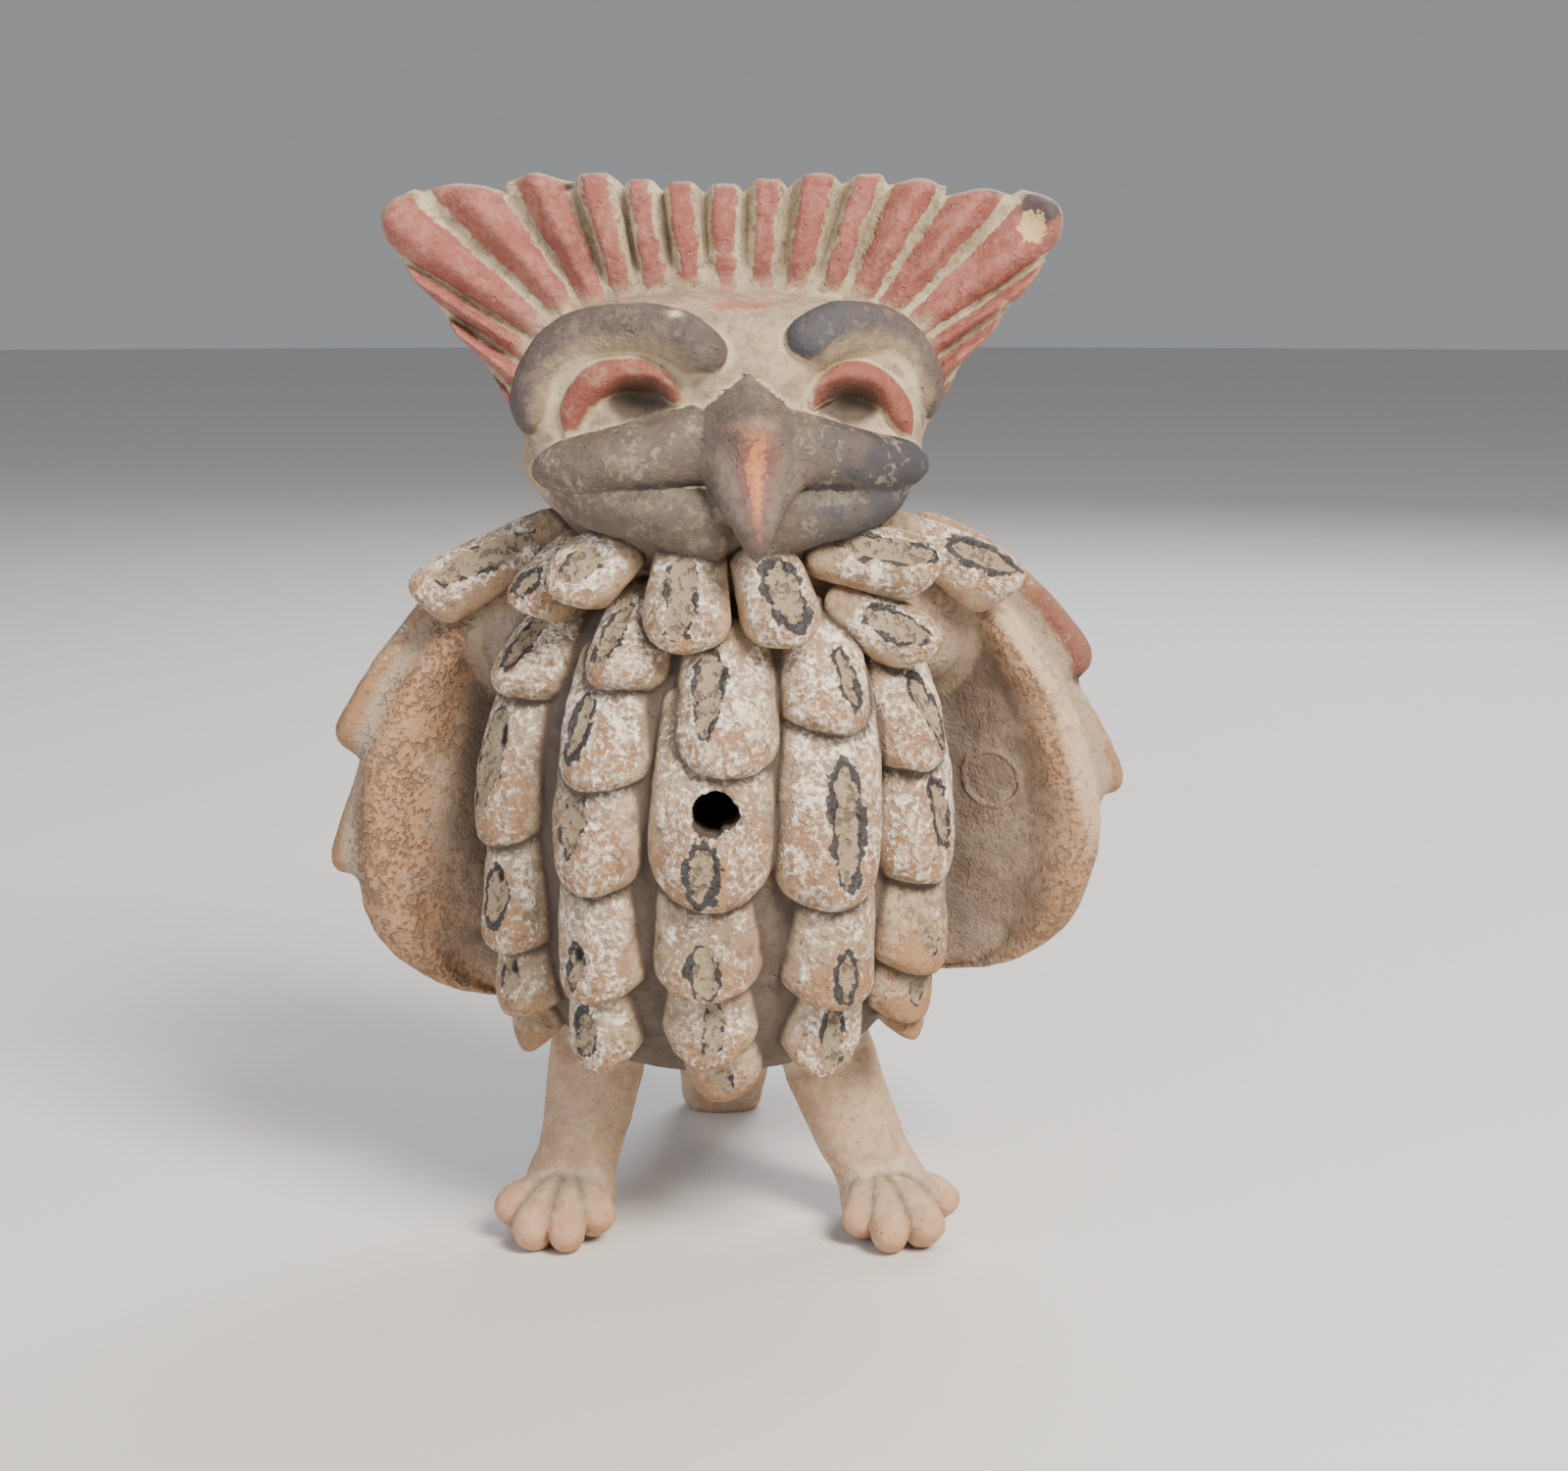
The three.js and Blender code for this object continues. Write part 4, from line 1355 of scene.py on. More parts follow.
@dataclass(frozen=True)
class ToneHole:
    """The hole in the belly: poked, not drilled, with a notch and a nub of clay at its rim."""

    x: float = -0.6
    z: float = 49.0
    radius: float = 2.25
    start: float = -33.0
    end: float = -11.0

    def surface(self) -> Surface:
        """A ragged rod along Y, to be cut out.

        Its radius is the hole's, plus a bulge to the right, less a nub at the lower right, plus a
        small ripple.
        """
        share = closer_at_ends(16)
        turn = np.linspace(0, 2 * np.pi, 48, endpoint=False)
        around = np.angle(np.exp(1j * turn))
        bulge = 0.45 * np.exp(-(((around + 0.1) / 0.3) ** 2))
        nub = 0.6 * np.exp(-(((around + 1.0) / 0.26) ** 2))
        ripple = 0.07 * np.sin(5 * turn + 1) + 0.05 * np.sin(9 * turn)
        radius = (self.radius + bulge - nub + ripple) * round_ends(share, 0.05, 0.05)[:, None]
        y = mix(self.start, self.end, share)[:, None]
        points = joined(self.x + radius * np.cos(turn), y, self.z + radius * np.sin(turn))
        return Surface("tone_hole", Finish.INSIDE, points)


class Mark(Enum):
    """What was done to a spot of the front, each a value kept at the skin's vertices."""

    HOLE = "hole"
    CHIP = "chip"
    STAIN = "stain"
    SMEAR = "smear"


@dataclass(frozen=True)
class Spot:
    """An oval spot of the front, by its place in the front view and its half sizes."""

    mark: Mark
    x: float
    z: float
    half_x: float
    half_z: float
    depth: float = 0.0


@dataclass(frozen=True)
class Skin:
    """How the joined clay is worked over: smoothed joints, soft creases, dents and unevenness.

    Attributes:
        joints: The kinds of forms that are smoothed into each other, and painted over as one.
        face_joints: The kinds of forms that are smoothed into each other on the face.
        standing: The heights at which the working over sets in and is full. The soles stay flat.
        pull: How far a vertex moves each time, as a share of the way to its neighbours' mean.
        warp: How far the whole shape is pushed out of true, in bulges as wide as warp_cell.
        lumps: Height, width and seed of each kind of small lump.
        spots: What was done to the front, by hand or by wear.
    """

    joints: tuple[tuple[Join, Join], ...] = ((Join.MAIN, Join.MAIN), (Join.DRAWN, Join.MAIN))
    face_joints: tuple[tuple[Join, Join], ...] = ((Join.BEAK, Join.JAW), (Join.JAW, Join.JAW))
    soften_steps: int = 3
    smooth_steps: int = 16
    smooth_reach: float = 3.2
    standing: Pair = (0.4, 2.5)
    pull: float = 0.6
    hollow_steps: int = 30
    seam_steps: int = 14
    seam_reach: float = 4.0
    warp: float = 0.3
    warp_cell: float = 9.0
    lumps: tuple[tuple[float, float, int], ...] = ((0.14, 3.4, 5), (0.1, 1.2, 6))
    spots: tuple[Spot, ...] = (
        Spot(Mark.HOLE, -15.8, 109.2, 0.65, 0.65, 1.2),
        Spot(Mark.CHIP, 30.9, 105.2, 1.8, 2.3, 0.6),
        Spot(Mark.CHIP, 28.6, 97.2, 1.5, 1.3, 0.6),
        Spot(Mark.CHIP, -4.5, 96.8, 0.9, 0.5, 0.2),
        Spot(Mark.STAIN, 32.0, 107.4, 2.8, 2.2),
        Spot(Mark.STAIN, 27.4, 109.4, 2.2, 1.2),
        Spot(Mark.SMEAR, 1.6, 98.2, 5.2, 1.6),
    )

    @staticmethod
    def edges(mesh: Mesh) -> Array:
        """The two vertices of every edge."""
        return read(mesh.edges, "vertices", np.int32, 2).reshape(-1, 2)

    @staticmethod
    def averaged(values: Array, pairs: Array) -> Array:
        """Each vertex's neighbours' mean, for values with one row for each vertex."""
        count = np.bincount(pairs.ravel(), minlength=len(values))
        here, there = np.concatenate([pairs, pairs[:, ::-1]]).T
        sums = [np.bincount(here, column[there], len(values)) for column in values.T]
        return np.stack(sums, -1) / np.maximum(count, 1)[:, None]

    def seams(self, mesh: Mesh, pairs: Array, joins: Array) -> tuple[Array, ...]:
        """The vertices where two forms meet.

        Args:
            mesh: The joined mesh.
            pairs: The two vertices of every edge.
            joins: How each raised form is joined, by its number.

        Returns:
            All of them, those where a form is pressed on, those where two are smoothed into each
            other, and those of the last that aren't on the face.
        """
        edge_of = read(mesh.loops, "edge_index", np.int32)
        forms = read(mesh.attributes["form"].data, "value", np.int32)
        form_of = np.repeat(forms, read(mesh.polygons, "loop_total", np.int32))
        low = np.full(len(mesh.edges), form_of.max())
        high = np.full(len(mesh.edges), -1)
        np.minimum.at(low, edge_of, form_of)
        np.maximum.at(high, edge_of, form_of)
        met = low != high
        raised = met & (high < len(joins))
        ends = joins[np.minimum(low, len(joins) - 1)], joins[np.minimum(high, len(joins) - 1)]
        kind = len(Join) * np.minimum(*ends) + np.maximum(*ends)
        body, face = (
            raised & np.isin(kind, [len(Join) * first.value + last.value for first, last in kinds])
            for kinds in (self.joints, self.face_joints)
        )
        chosen = met, raised & ~body & ~face, body | face, body
        return tuple(pairs[edges].ravel() for edges in chosen)

    def work(self, mesh: Mesh, pupils: list[Spot], joins: Array) -> None:
        """Work the joined mesh over, in millimetres, and keep what the materials read.

        Args:
            mesh: The joined mesh.
            pupils: The pupils.
            joins: How each raised form is joined, by its number.
        """
        points = read(mesh.vertices, "co", np.float32, 3).reshape(-1, 3).astype(float)
        pairs = self.edges(mesh)
        met, pressed, smoothed, jointed = self.seams(mesh, pairs, joins)
        standing = smooth_step(*self.standing, points[:, 2])
        near = self.distance(points, pairs, smoothed) / self.smooth_reach
        wide = smooth_step(1, 0.2, near)
        wide *= smooth_step(0.5, 1.6, self.distance(points, pairs, pressed))
        soft = self.spread(met, pairs, len(points))
        for steps, where in ((self.soften_steps, soft), (self.smooth_steps, wide)):
            for _ in range(steps):
                step = self.averaged(points, pairs) - points
                points += step * (self.pull * where * standing)[:, None]
        shift = np.stack([LatticeNoise(seed).at(points, self.warp_cell) for seed in (1, 2, 3)], -1)
        points += self.warp * shift * standing[:, None]
        kept = self.marked(mesh, points, [*pupils, *self.spots])
        normals = self.normals(mesh, points)
        for height, cell, seed in self.lumps:
            lump = height * LatticeNoise(seed).at(points, cell) * standing
            points += normals * lump[:, None]
        kept |= self.hollows(mesh, points, pairs)
        kept["seam"] = self.distance(points, pairs, pressed)
        kept["joint"] = self.distance(points, pairs, jointed)
        for name, values in kept.items():
            layer = mesh.attributes.new(name, "FLOAT", "POINT")
            layer.data.foreach_set("value", values.astype(np.float32))

    def spread(self, seams: Array, pairs: Array, count: int) -> Array:
        """A weight that is 1 on the seams, and less on the two rings of vertices beside them."""
        weight = np.zeros(count)
        weight[seams] = 1
        for _ in range(2):
            wider = weight.copy()
            np.maximum.at(wider, pairs[:, 0], self.pull * weight[pairs[:, 1]])
            np.maximum.at(wider, pairs[:, 1], self.pull * weight[pairs[:, 0]])
            weight = wider
        return weight

    def marked(self, mesh: Mesh, points: Array, spots: list[Spot]) -> dict[str, Array]:
        """Press the spots into the points, along Y, where the clay faces forwards.

        A spot's dish is one less the square of its radius. It is pressed in by its depth times
        that dish raised to 1.5.

        Returns:
            For each kind of mark, how strong it is at each vertex, from 0 to 1.
        """
        front = smooth_step(0.1, 0.5, -self.normals(mesh, points)[:, 1])
        marks = {mark.value: np.zeros(len(points)) for mark in Mark}
        for spot in spots:
            radius = np.hypot(
                (points[:, 0] - spot.x) / spot.half_x, (points[:, 2] - spot.z) / spot.half_z
            )
            dish = np.clip(1 - radius**2, 0, 1) * front
            points[:, 1] += spot.depth * dish**1.5
            kind = spot.mark.value
            marks[kind] = np.maximum(marks[kind], dish)
        return marks

    @staticmethod
    def normals(mesh: Mesh, points: Array) -> Array:
        """Put the points in the mesh and read its vertex normals."""
        mesh.vertices.foreach_set("co", points.astype(np.float32).ravel())
        mesh.update()
        normals = read(mesh.vertex_normals, "vector", np.float32, 3)
        return normals.reshape(-1, 3).astype(float)

    def hollows(self, mesh: Mesh, points: Array, pairs: Array) -> dict[str, Array]:
        """How sunk and how exposed each spot is, from 0 to 1.

        A spot's depth is how far it lies below the mean of its surroundings, along its normal.
        """
        normals = self.normals(mesh, points)
        mean = points.copy()
        for _ in range(self.hollow_steps):
            mean = self.averaged(mean, pairs)
        depth = np.sum((mean - points) * normals, 1)
        signs = {"crevice": 1, "exposed": -1}
        return {name: smooth_step(0.05, 0.8, sign * depth) for name, sign in signs.items()}

    def distance(self, points: Array, pairs: Array, seams: Array) -> Array:
        """How far each vertex is from the nearest seam, along the edges, up to seam_reach.

        Every edge passes on the smaller of its ends' distances plus its own length.
        """
        length = np.linalg.norm(points[pairs[:, 0]] - points[pairs[:, 1]], axis=1)
        far = np.full(len(points), self.seam_reach)
        far[seams] = 0
        for _ in range(self.seam_steps):
            np.minimum.at(far, pairs[:, 0], far[pairs[:, 1]] + length)
            np.minimum.at(far, pairs[:, 1], far[pairs[:, 0]] + length)
        return far


def linear(hex_colour: str) -> Colour:
    """A colour written as sRGB hex, as linear red, green, blue and alpha."""
    parts = [int(hex_colour[i : i + 2], 16) / 255 for i in (1, 3, 5)]
    bent = [p / 12.92 if p <= 0.04045 else ((p + 0.055) / 1.055) ** 2.4 for p in parts]
    return (*bent, 1.0)


def per_metre(millimetres: float) -> float:
    """The scale of a pattern whose features are this many millimetres apart."""
    return 1000 / millimetres


@dataclass
class Coat:
    """A material being painted: its nodes, and what its layers read."""

    name: str
    # The colour of the clay that is wiped over a joint.
    joint_clay: str = "#A08C76"
    material: Material = field(init=False)

    def __post_init__(self) -> None:
        """Start the material with no nodes."""
        self.material = bpy.data.materials.new(self.name)
        self.material.use_nodes = True
        self.material.node_tree.nodes.clear()

    def add(self, kind: str, *inputs: Input | dict, out: int | str = 0, **settings) -> Socket:
        """Add a node with its settings, its plain values and its links.

        Args:
            kind: The node's type, without the ShaderNode that they all start with.
            *inputs: What its sockets hold or are linked to, in order or as one dict by name.
            out: The output that is wanted.
            **settings: The node's own properties.

        Returns:
            That output.
        """
        tree = self.material.node_tree
        node = tree.nodes.new(f"ShaderNode{kind}")
        for name, value in settings.items():
            setattr(node, name, value)
        by_key = inputs[0] if inputs and isinstance(inputs[0], dict) else dict(enumerate(inputs))
        for key, value in by_key.items():
            if isinstance(value, Socket):
                tree.links.new(value, node.inputs[key])
            else:
                node.inputs[key].default_value = value
        return node.outputs[out] if len(node.outputs) else None

    @cached_property
    def spot(self) -> Socket:
        """Where a spot lies, in metres."""
        return self.add("TexCoord", out="Object")

    @cached_property
    def kept(self) -> dict[str, Socket]:
        """The values that the skin keeps at each vertex, by their names."""
        names = ("crevice", "exposed", "seam", "joint", *(mark.value for mark in Mark))
        return {name: self.add("Attribute", out="Fac", attribute_name=name) for name in names}

    def chart(self, chart: Chart) -> tuple[Socket, Socket, Socket]:
        """One of the skin's charts: both its values together, and each alone."""
        pair = self.add("UVMap", uv_map=chart.value[0])
        apart = self.add("SeparateXYZ", pair)
        return pair, apart, apart.node.outputs[1]

    def ragged(self, value: Input, low: float, high: float, *grains: Grain) -> Socket:
        """A mask with a ragged edge: 0 where a value is at low, and 1 where it is at high.

        Args:
            value: What the mask follows.
            low: Where it starts.
            high: Where it is full.
            *grains: Noises that move the value: how far from end to end, the size of their grain
                in millimetres, and how many finer grains they have.
        """
        for reach, size, detail in grains:
            grain = {
                "Vector": self.spot,
                "Scale": per_metre(size),
                "Detail": detail,
                "Roughness": CRUMBLE,
            }
            noise = self.add("TexNoise", grain)
            moved = self.add("Math", noise, reach, -0.5 * reach, operation="MULTIPLY_ADD")
            value = self.add("Math", moved, value, operation="ADD")
        return self.add("MapRange", value, low, high, interpolation_type="SMOOTHSTEP")

    def patchy(self, low: float, high: float, *grains: Grain) -> Socket:
        """A mask of ragged patches, where the noises' sum rises from low to high."""
        return self.ragged(0.0, low, high, *grains)

    def overlap(self, *masks: Input) -> Input:
        """Where several masks overlap: their product."""
        total = masks[0]
        for mask in masks[1:]:
            total = self.add("Math", total, mask, operation="MULTIPLY")
        return total

    def away(self, value: Socket, middle: float) -> Socket:
        """How far a value is from another, on either side of it."""
        off = self.add("Math", value, middle, operation="SUBTRACT")
        return self.add("Math", off, operation="ABSOLUTE")

    def layered(self, ground: Input | Colour, layers: list[tuple[str | Input, ...]]) -> Socket:
        """Colours laid over a ground, each with the masks whose overlap it covers."""
        for colour, *masks in layers:
            top = linear(colour) if isinstance(colour, str) else colour
            sockets = {0: self.overlap(*masks), 6: ground, 7: top}
            ground = self.add("Mix", sockets, out=2, data_type="RGBA")
        return ground

    def blended(self, colour: Socket) -> Socket:
        """A colour that turns to the joints' clay where one form is smoothed into another."""
        near = self.ragged(self.kept["joint"], 1.3, 0.4, (0.9, 1.5, 3.0))
        return self.layered(colour, [(self.joint_clay, near)])

    def raised(self, height: Socket, layers: list[tuple[Input, ...]]) -> Socket:
        """Relief with more added: each layer's millimetres, where all of its masks are 1."""
        for amount, *masks in layers:
            mask = self.overlap(*masks)
            height = self.add("Math", mask, amount, height, operation="MULTIPLY_ADD")
        return height

    def finish(self, colour: Input | Colour, roughness: Input, height: Input = 0.0) -> None:
        """Join colour, roughness and fine relief in the shader.

        Args:
            colour: The colour.
            roughness: The roughness.
            height: The relief, in millimetres.
        """
        sockets = {"Base Color": colour, "Roughness": roughness, "IOR": CERAMIC_IOR}
        if isinstance(height, Socket):
            relief = {"Strength": 1.0, "Distance": MILLIMETRE, "Height": height}
            sockets["Normal"] = self.add("Bump", relief)
        self.add("OutputMaterial", self.add("BsdfPrincipled", sockets))


@dataclass(frozen=True)
class FiredClay:
    """Buff earthenware, hand smoothed and low fired.

    To the eye it is matt and mottled: buff with paler and browner patches a fingertip wide, fine
    grit, a few pits, dirt and painted shade in its creases and seams, and browner clay where it
    has been handled.

    Attributes:
        deep: The painted shade inside a deep hole.
        rust_cover: How much of the wear shows, from 0 to 1.
        dirt_and_shade_cover: How much of the dirt and painted shade in creases and seams shows,
            from 0 to 1.
        blends: Whether it turns to the joints' clay where another form is smoothed into it.
        blotch: Width of its patches, in millimetres.
        grain: Height of its grit, in millimetres.
    """

    light: str = "#C6B196"
    dark: str = "#A68F77"
    rust: str = "#B0805A"
    dirt_and_shade: str = "#4E4138"
    deep: str = "#211E20"
    tip: str = "#C48C66"
    rust_cover: float = 0.2
    dirt_and_shade_cover: float = 0.5
    blends: bool = False
    blotch: float = 8.0
    # Real grit is a tenth of a millimetre, and is drawn at about a third to show.
    grit: float = 0.35
    grain: float = 0.1
    roughness: float = 0.88

    def ground(self, coat: Coat) -> tuple[Socket, Socket]:
        """The clay's colour and its relief in millimetres, before any paint."""
        patches = coat.patchy(-0.14, 0.14, (0.7, self.blotch, 3.0), (0.6, 1.3, 4.0))
        flecks = coat.patchy(0.03, 0.12, (1.0, 0.7, 3.0))
        worn = coat.patchy(0.02, 0.16, (0.8, 2.8, 4.0), (0.4, 0.6, 2.0))
        handled = coat.ragged(coat.kept["exposed"], 0.25, 0.8, (0.8, 1.6, 4.0))
        sunk = coat.ragged(coat.kept["crevice"], 0.1, 0.9, (0.5, 1.5, 3.0))
        seam = coat.ragged(coat.kept["seam"], 0.8, 0.1, (0.9, 1.4, 3.0))
        layers = [
            (self.light, patches),
            (self.dark, flecks, 0.45),
            (self.rust, worn, self.rust_cover),
            (self.rust, handled, self.rust_cover * 1.5),
            # Dirt and painted shade: darker in the creases and along the pressed seams.
            (self.dirt_and_shade, sunk, self.dirt_and_shade_cover * 0.8),
            (self.dirt_and_shade, seam, self.dirt_and_shade_cover * 0.75),
        ]
        gritty = {"Vector": coat.spot, "Scale": per_metre(self.grit), "Detail": 3.0}
        grit = coat.add("TexNoise", gritty)
        pits = coat.patchy(0.13, 0.22, (1.0, 1.1, 2.0))
        dents = coat.patchy(-0.2, 0.2, (1.0, 2.2, 3.0))
        height = coat.raised(coat.overlap(grit, self.grain), [(-0.13, pits), (0.1, dents)])
        return coat.layered(linear(self.dark), layers), height

    def material(self, name: str) -> Material:
        """The bare clay as a material, with orange at the tips of the toes."""
        coat = Coat(name)
        colour, height = self.ground(coat)
        _, _, tip = coat.chart(Chart.WEAR)
        worn_tip = coat.ragged(tip, 0.45, 1.0, (0.7, 1.8, 3.0))
        colour = coat.layered(colour, [(self.tip, worn_tip, 0.5)])
        colour = coat.blended(colour) if self.blends else colour
        coat.finish(colour, self.roughness, height)
        return coat.material


class ClayFinish:
    """A finish that is painted on fired clay or rubbed into it."""

    clay: FiredClay

    def laid(self, coat: Coat, colour: Socket, height: Socket) -> Laid:
        """Lay the finish over the clay.

        Args:
            coat: The material being painted.
            colour: The clay's colour.
            height: The clay's relief, in millimetres.

        Returns:
            The colour, the roughness and the relief of both.
        """
        raise NotImplementedError

    def material(self, name: str) -> Material:
        """The finish as a material."""
        coat = Coat(name)
        coat.finish(*self.laid(coat, *self.clay.ground(coat)))
        return coat.material


@dataclass(frozen=True)
class SlipPetal(ClayFinish):
    """Clay petals brushed with white slip, with a blue-black oval on each, and then worn.

    To the eye the slip is a chalky white that has flaked to buff and orange-brown specks, the
    ovals are bare and pitted inside, and their outline is broken and ragged.
    """

    clay: FiredClay = FiredClay(light="#B8A184", dark="#8B745D", rust_cover=0.15, dirt_and_shade_cover=0.95)
    slip: str = "#F6EAD8"
    rust: str = "#98704C"
    bare: str = "#94866F"
    pitted: str = "#54483C"
    ink: str = "#1F2129"
    red: str = "#7A453D"
    # Half the width, in millimetres, by which a whole outline is wider than a lost one.
    line: float = 0.62

    def outline(self, coat: Coat) -> tuple[Socket, Socket]:
        """Masks of the oval's inside and of its outline.

        The place is shaken by noise and divided by the oval's half sizes. Its length is 1 on the
        outline. That length less 1, over the steepness of the length, is the distance from the
        outline in millimetres.
        """
        place, _, _ = coat.chart(Chart.OVAL)
        size, _, _ = coat.chart(Chart.SIZE)
        _, ring, _ = coat.chart(Chart.TINT)
        for grain, reach in ((2.0, 1.5), (0.6, 0.7)):
            shaken = {"Vector": coat.spot, "Scale": per_metre(grain), "Detail": 2.0}
            noise = coat.add("TexNoise", shaken, out="Color")
            centred = coat.add("VectorMath", noise, (0.5, 0.5, 0.5), operation="SUBTRACT")
            shift = (reach, reach, 0.0)
            place = coat.add("VectorMath", centred, shift, place, operation="MULTIPLY_ADD")
        scaled = coat.add("VectorMath", place, size, operation="DIVIDE")
        steep = coat.add("VectorMath", scaled, size, operation="DIVIDE")
        far, slope = (
            coat.add("VectorMath", vector, out="Value", operation="LENGTH")
            for vector in (scaled, steep)
        )
        past = coat.add("Math", far, 1.0, operation="SUBTRACT")
        over = coat.add("Math", far, slope, operation="DIVIDE")
        distance = coat.overlap(past, over)
        inside = coat.ragged(distance, 0.1, -0.2)
        width = coat.add("Math", ring, self.line, -0.2, operation="MULTIPLY_ADD")
        left = coat.add("Math", width, coat.away(distance, 0.0), operation="SUBTRACT")
        return inside, coat.ragged(left, 0.0, 0.1, (1.7, 2.2, 1.0), (0.7, 0.7, 2.0))

    def laid(self, coat: Coat, colour: Socket, height: Socket) -> Laid:
        """The slip, the ovals, the pits, and dirt and painted shade, laid over the clay."""
        _, slip, rust = coat.chart(Chart.WEAR)
        _, _, red = coat.chart(Chart.TINT)
        _, _, along = coat.chart(Chart.PLACE)
        pit, _, _ = coat.chart(Chart.PIT)
        inside, line = self.outline(coat)
        pit_off = coat.add("VectorMath", pit, out="Value", operation="LENGTH")
        hole = coat.ragged(pit_off, 1.0, 0.6, (0.4, 0.8, 2.0))
        white = coat.ragged(slip, 0.56, 1.02, (1.2, 2.6, 3.0), (1.8, 0.6, 3.0))
        brown = coat.ragged(rust, 0.46, 0.72, (1.2, 4.0, 3.0), (1.2, 0.7, 3.0))
        specks = coat.ragged(rust, 0.5, 0.75, (1.5, 0.5, 3.0))
        dark_specks = coat.patchy(0.06, 0.24, (1.0, 0.8, 3.0), (0.7, 3.0, 2.0))
        outside = coat.add("Math", 1.0, inside, operation="SUBTRACT")
        pits = coat.patchy(0.02, 0.15, (1.0, 0.9, 2.0))
        reddened = coat.ragged(along, 0.5, 0.8, (0.5, 3.0, 3.0), (0.3, 0.7, 3.0))
        seam = coat.ragged(coat.kept["seam"], 1.2, 0.1, (0.9, 1.2, 3.0))
        layers = [
            (self.rust, brown, 0.8),
            (self.slip, white, outside, 0.9),
            (self.rust, specks, 0.6),
            (self.pitted, dark_specks, 0.55),
            (self.bare, inside, 0.7),
            (self.pitted, inside, pits, 0.7),
            (self.ink, line, 0.92),
            (self.red, reddened, red, 0.8),
            (self.slip, reddened, red, white, 0.3),
            # Painted shade inside the poked pits.
            (self.clay.deep, hole),
            # Dirt and painted shade, darker along the seams and in the creases.
            (self.clay.dirt_and_shade, seam, 0.75),
            (self.clay.dirt_and_shade, coat.kept["crevice"], 0.75),
        ]
        height = coat.raised(height, [(0.17, white, outside), (-0.12, brown), (-0.2, inside, pits)])
        # The ink is a little smoother than the slip and the clay.
        roughness = coat.add("MapRange", {0: line, 3: 0.86, 4: 0.62})
        return coat.blended(coat.layered(colour, layers)), roughness, height


@dataclass(frozen=True)
class WingClay(ClayFinish):
    """The wings' clay, rubbed smooth with a pebble and then handled.

    To the eye it is pinkish buff and nearly smooth, and a little greyer and darker inside the bands
    towards the body, where shade is painted on. A fine-grained orange band follows its outer part,
    inside a pale rim that is a painted highlight.
    """

    clay: FiredClay = FiredClay(
        light="#BAA48D", dark="#96826F", rust_cover=0.12, dirt_and_shade_cover=0.8, grain=0.16
    )
    shade: str = "#766961"
    band: str = "#AA7D56"
    # The pale rim's colour: a painted highlight along the rim, and also a thin tint on the scar's
    # welt.
    rim: str = "#CDB190"
    fleck: str = "#7E6653"

    def laid(self, coat: Coat, colour: Socket, height: Socket) -> Laid:
        """The shade, the band and the rim, which follow the wing's outline, and the scar."""
        _, share, _ = coat.chart(Chart.PLACE)
        _, band, pale = coat.chart(Chart.WEAR)
        scar, _, _ = coat.chart(Chart.PIT)
        past_band, past_pale = (
            coat.add("Math", share, start, operation="SUBTRACT") for start in (band, pale)
        )
        # Painted shade: darker and greyer towards the body, inside the band.
        near = coat.ragged(past_band, 0.12, -0.45, (0.4, 5.0, 3.0))
        inner = coat.ragged(past_band, 0.0, 0.2, (0.3, 4.0, 3.0))
        outer = coat.ragged(past_pale, 0.015, -0.01, (0.02, 2.0, 3.0))
        # The pale rim is a painted highlight along the wing's outer edge.
        rim = coat.ragged(past_pale, -0.005, 0.02, (0.02, 2.0, 3.0))
        grain = coat.patchy(-0.3, 0.05, (0.7, 0.8, 3.0), (0.6, 4.0, 2.0))
        flecks = coat.patchy(0.04, 0.2, (1.0, 0.9, 4.0), (0.6, 5.0, 2.0))
        grains = coat.patchy(0.0, 0.2, (1.2, 0.6, 3.0), (0.6, 3.0, 2.0))
        far = coat.add("VectorMath", scar, out="Value", operation="LENGTH")
        off = coat.away(far, Wing.scar_radius)
        welt = coat.ragged(off, 0.4, 0.1, (0.9, 1.6, 4.0))
        layers = [
            (self.shade, near, 0.75),
            (self.band, inner, outer, grain, 0.75),
            (self.fleck, inner, outer, grains, 0.6),
            (self.rim, rim, 0.55),
            (self.fleck, flecks, 0.5),
            (self.rim, welt, 0.12),
        ]
        relief = [(-0.3, inner, outer, grains), (-0.08, flecks), (0.22, welt)]
        colour = coat.blended(coat.layered(colour, layers))
        return colour, self.clay.roughness, coat.raised(height, relief)


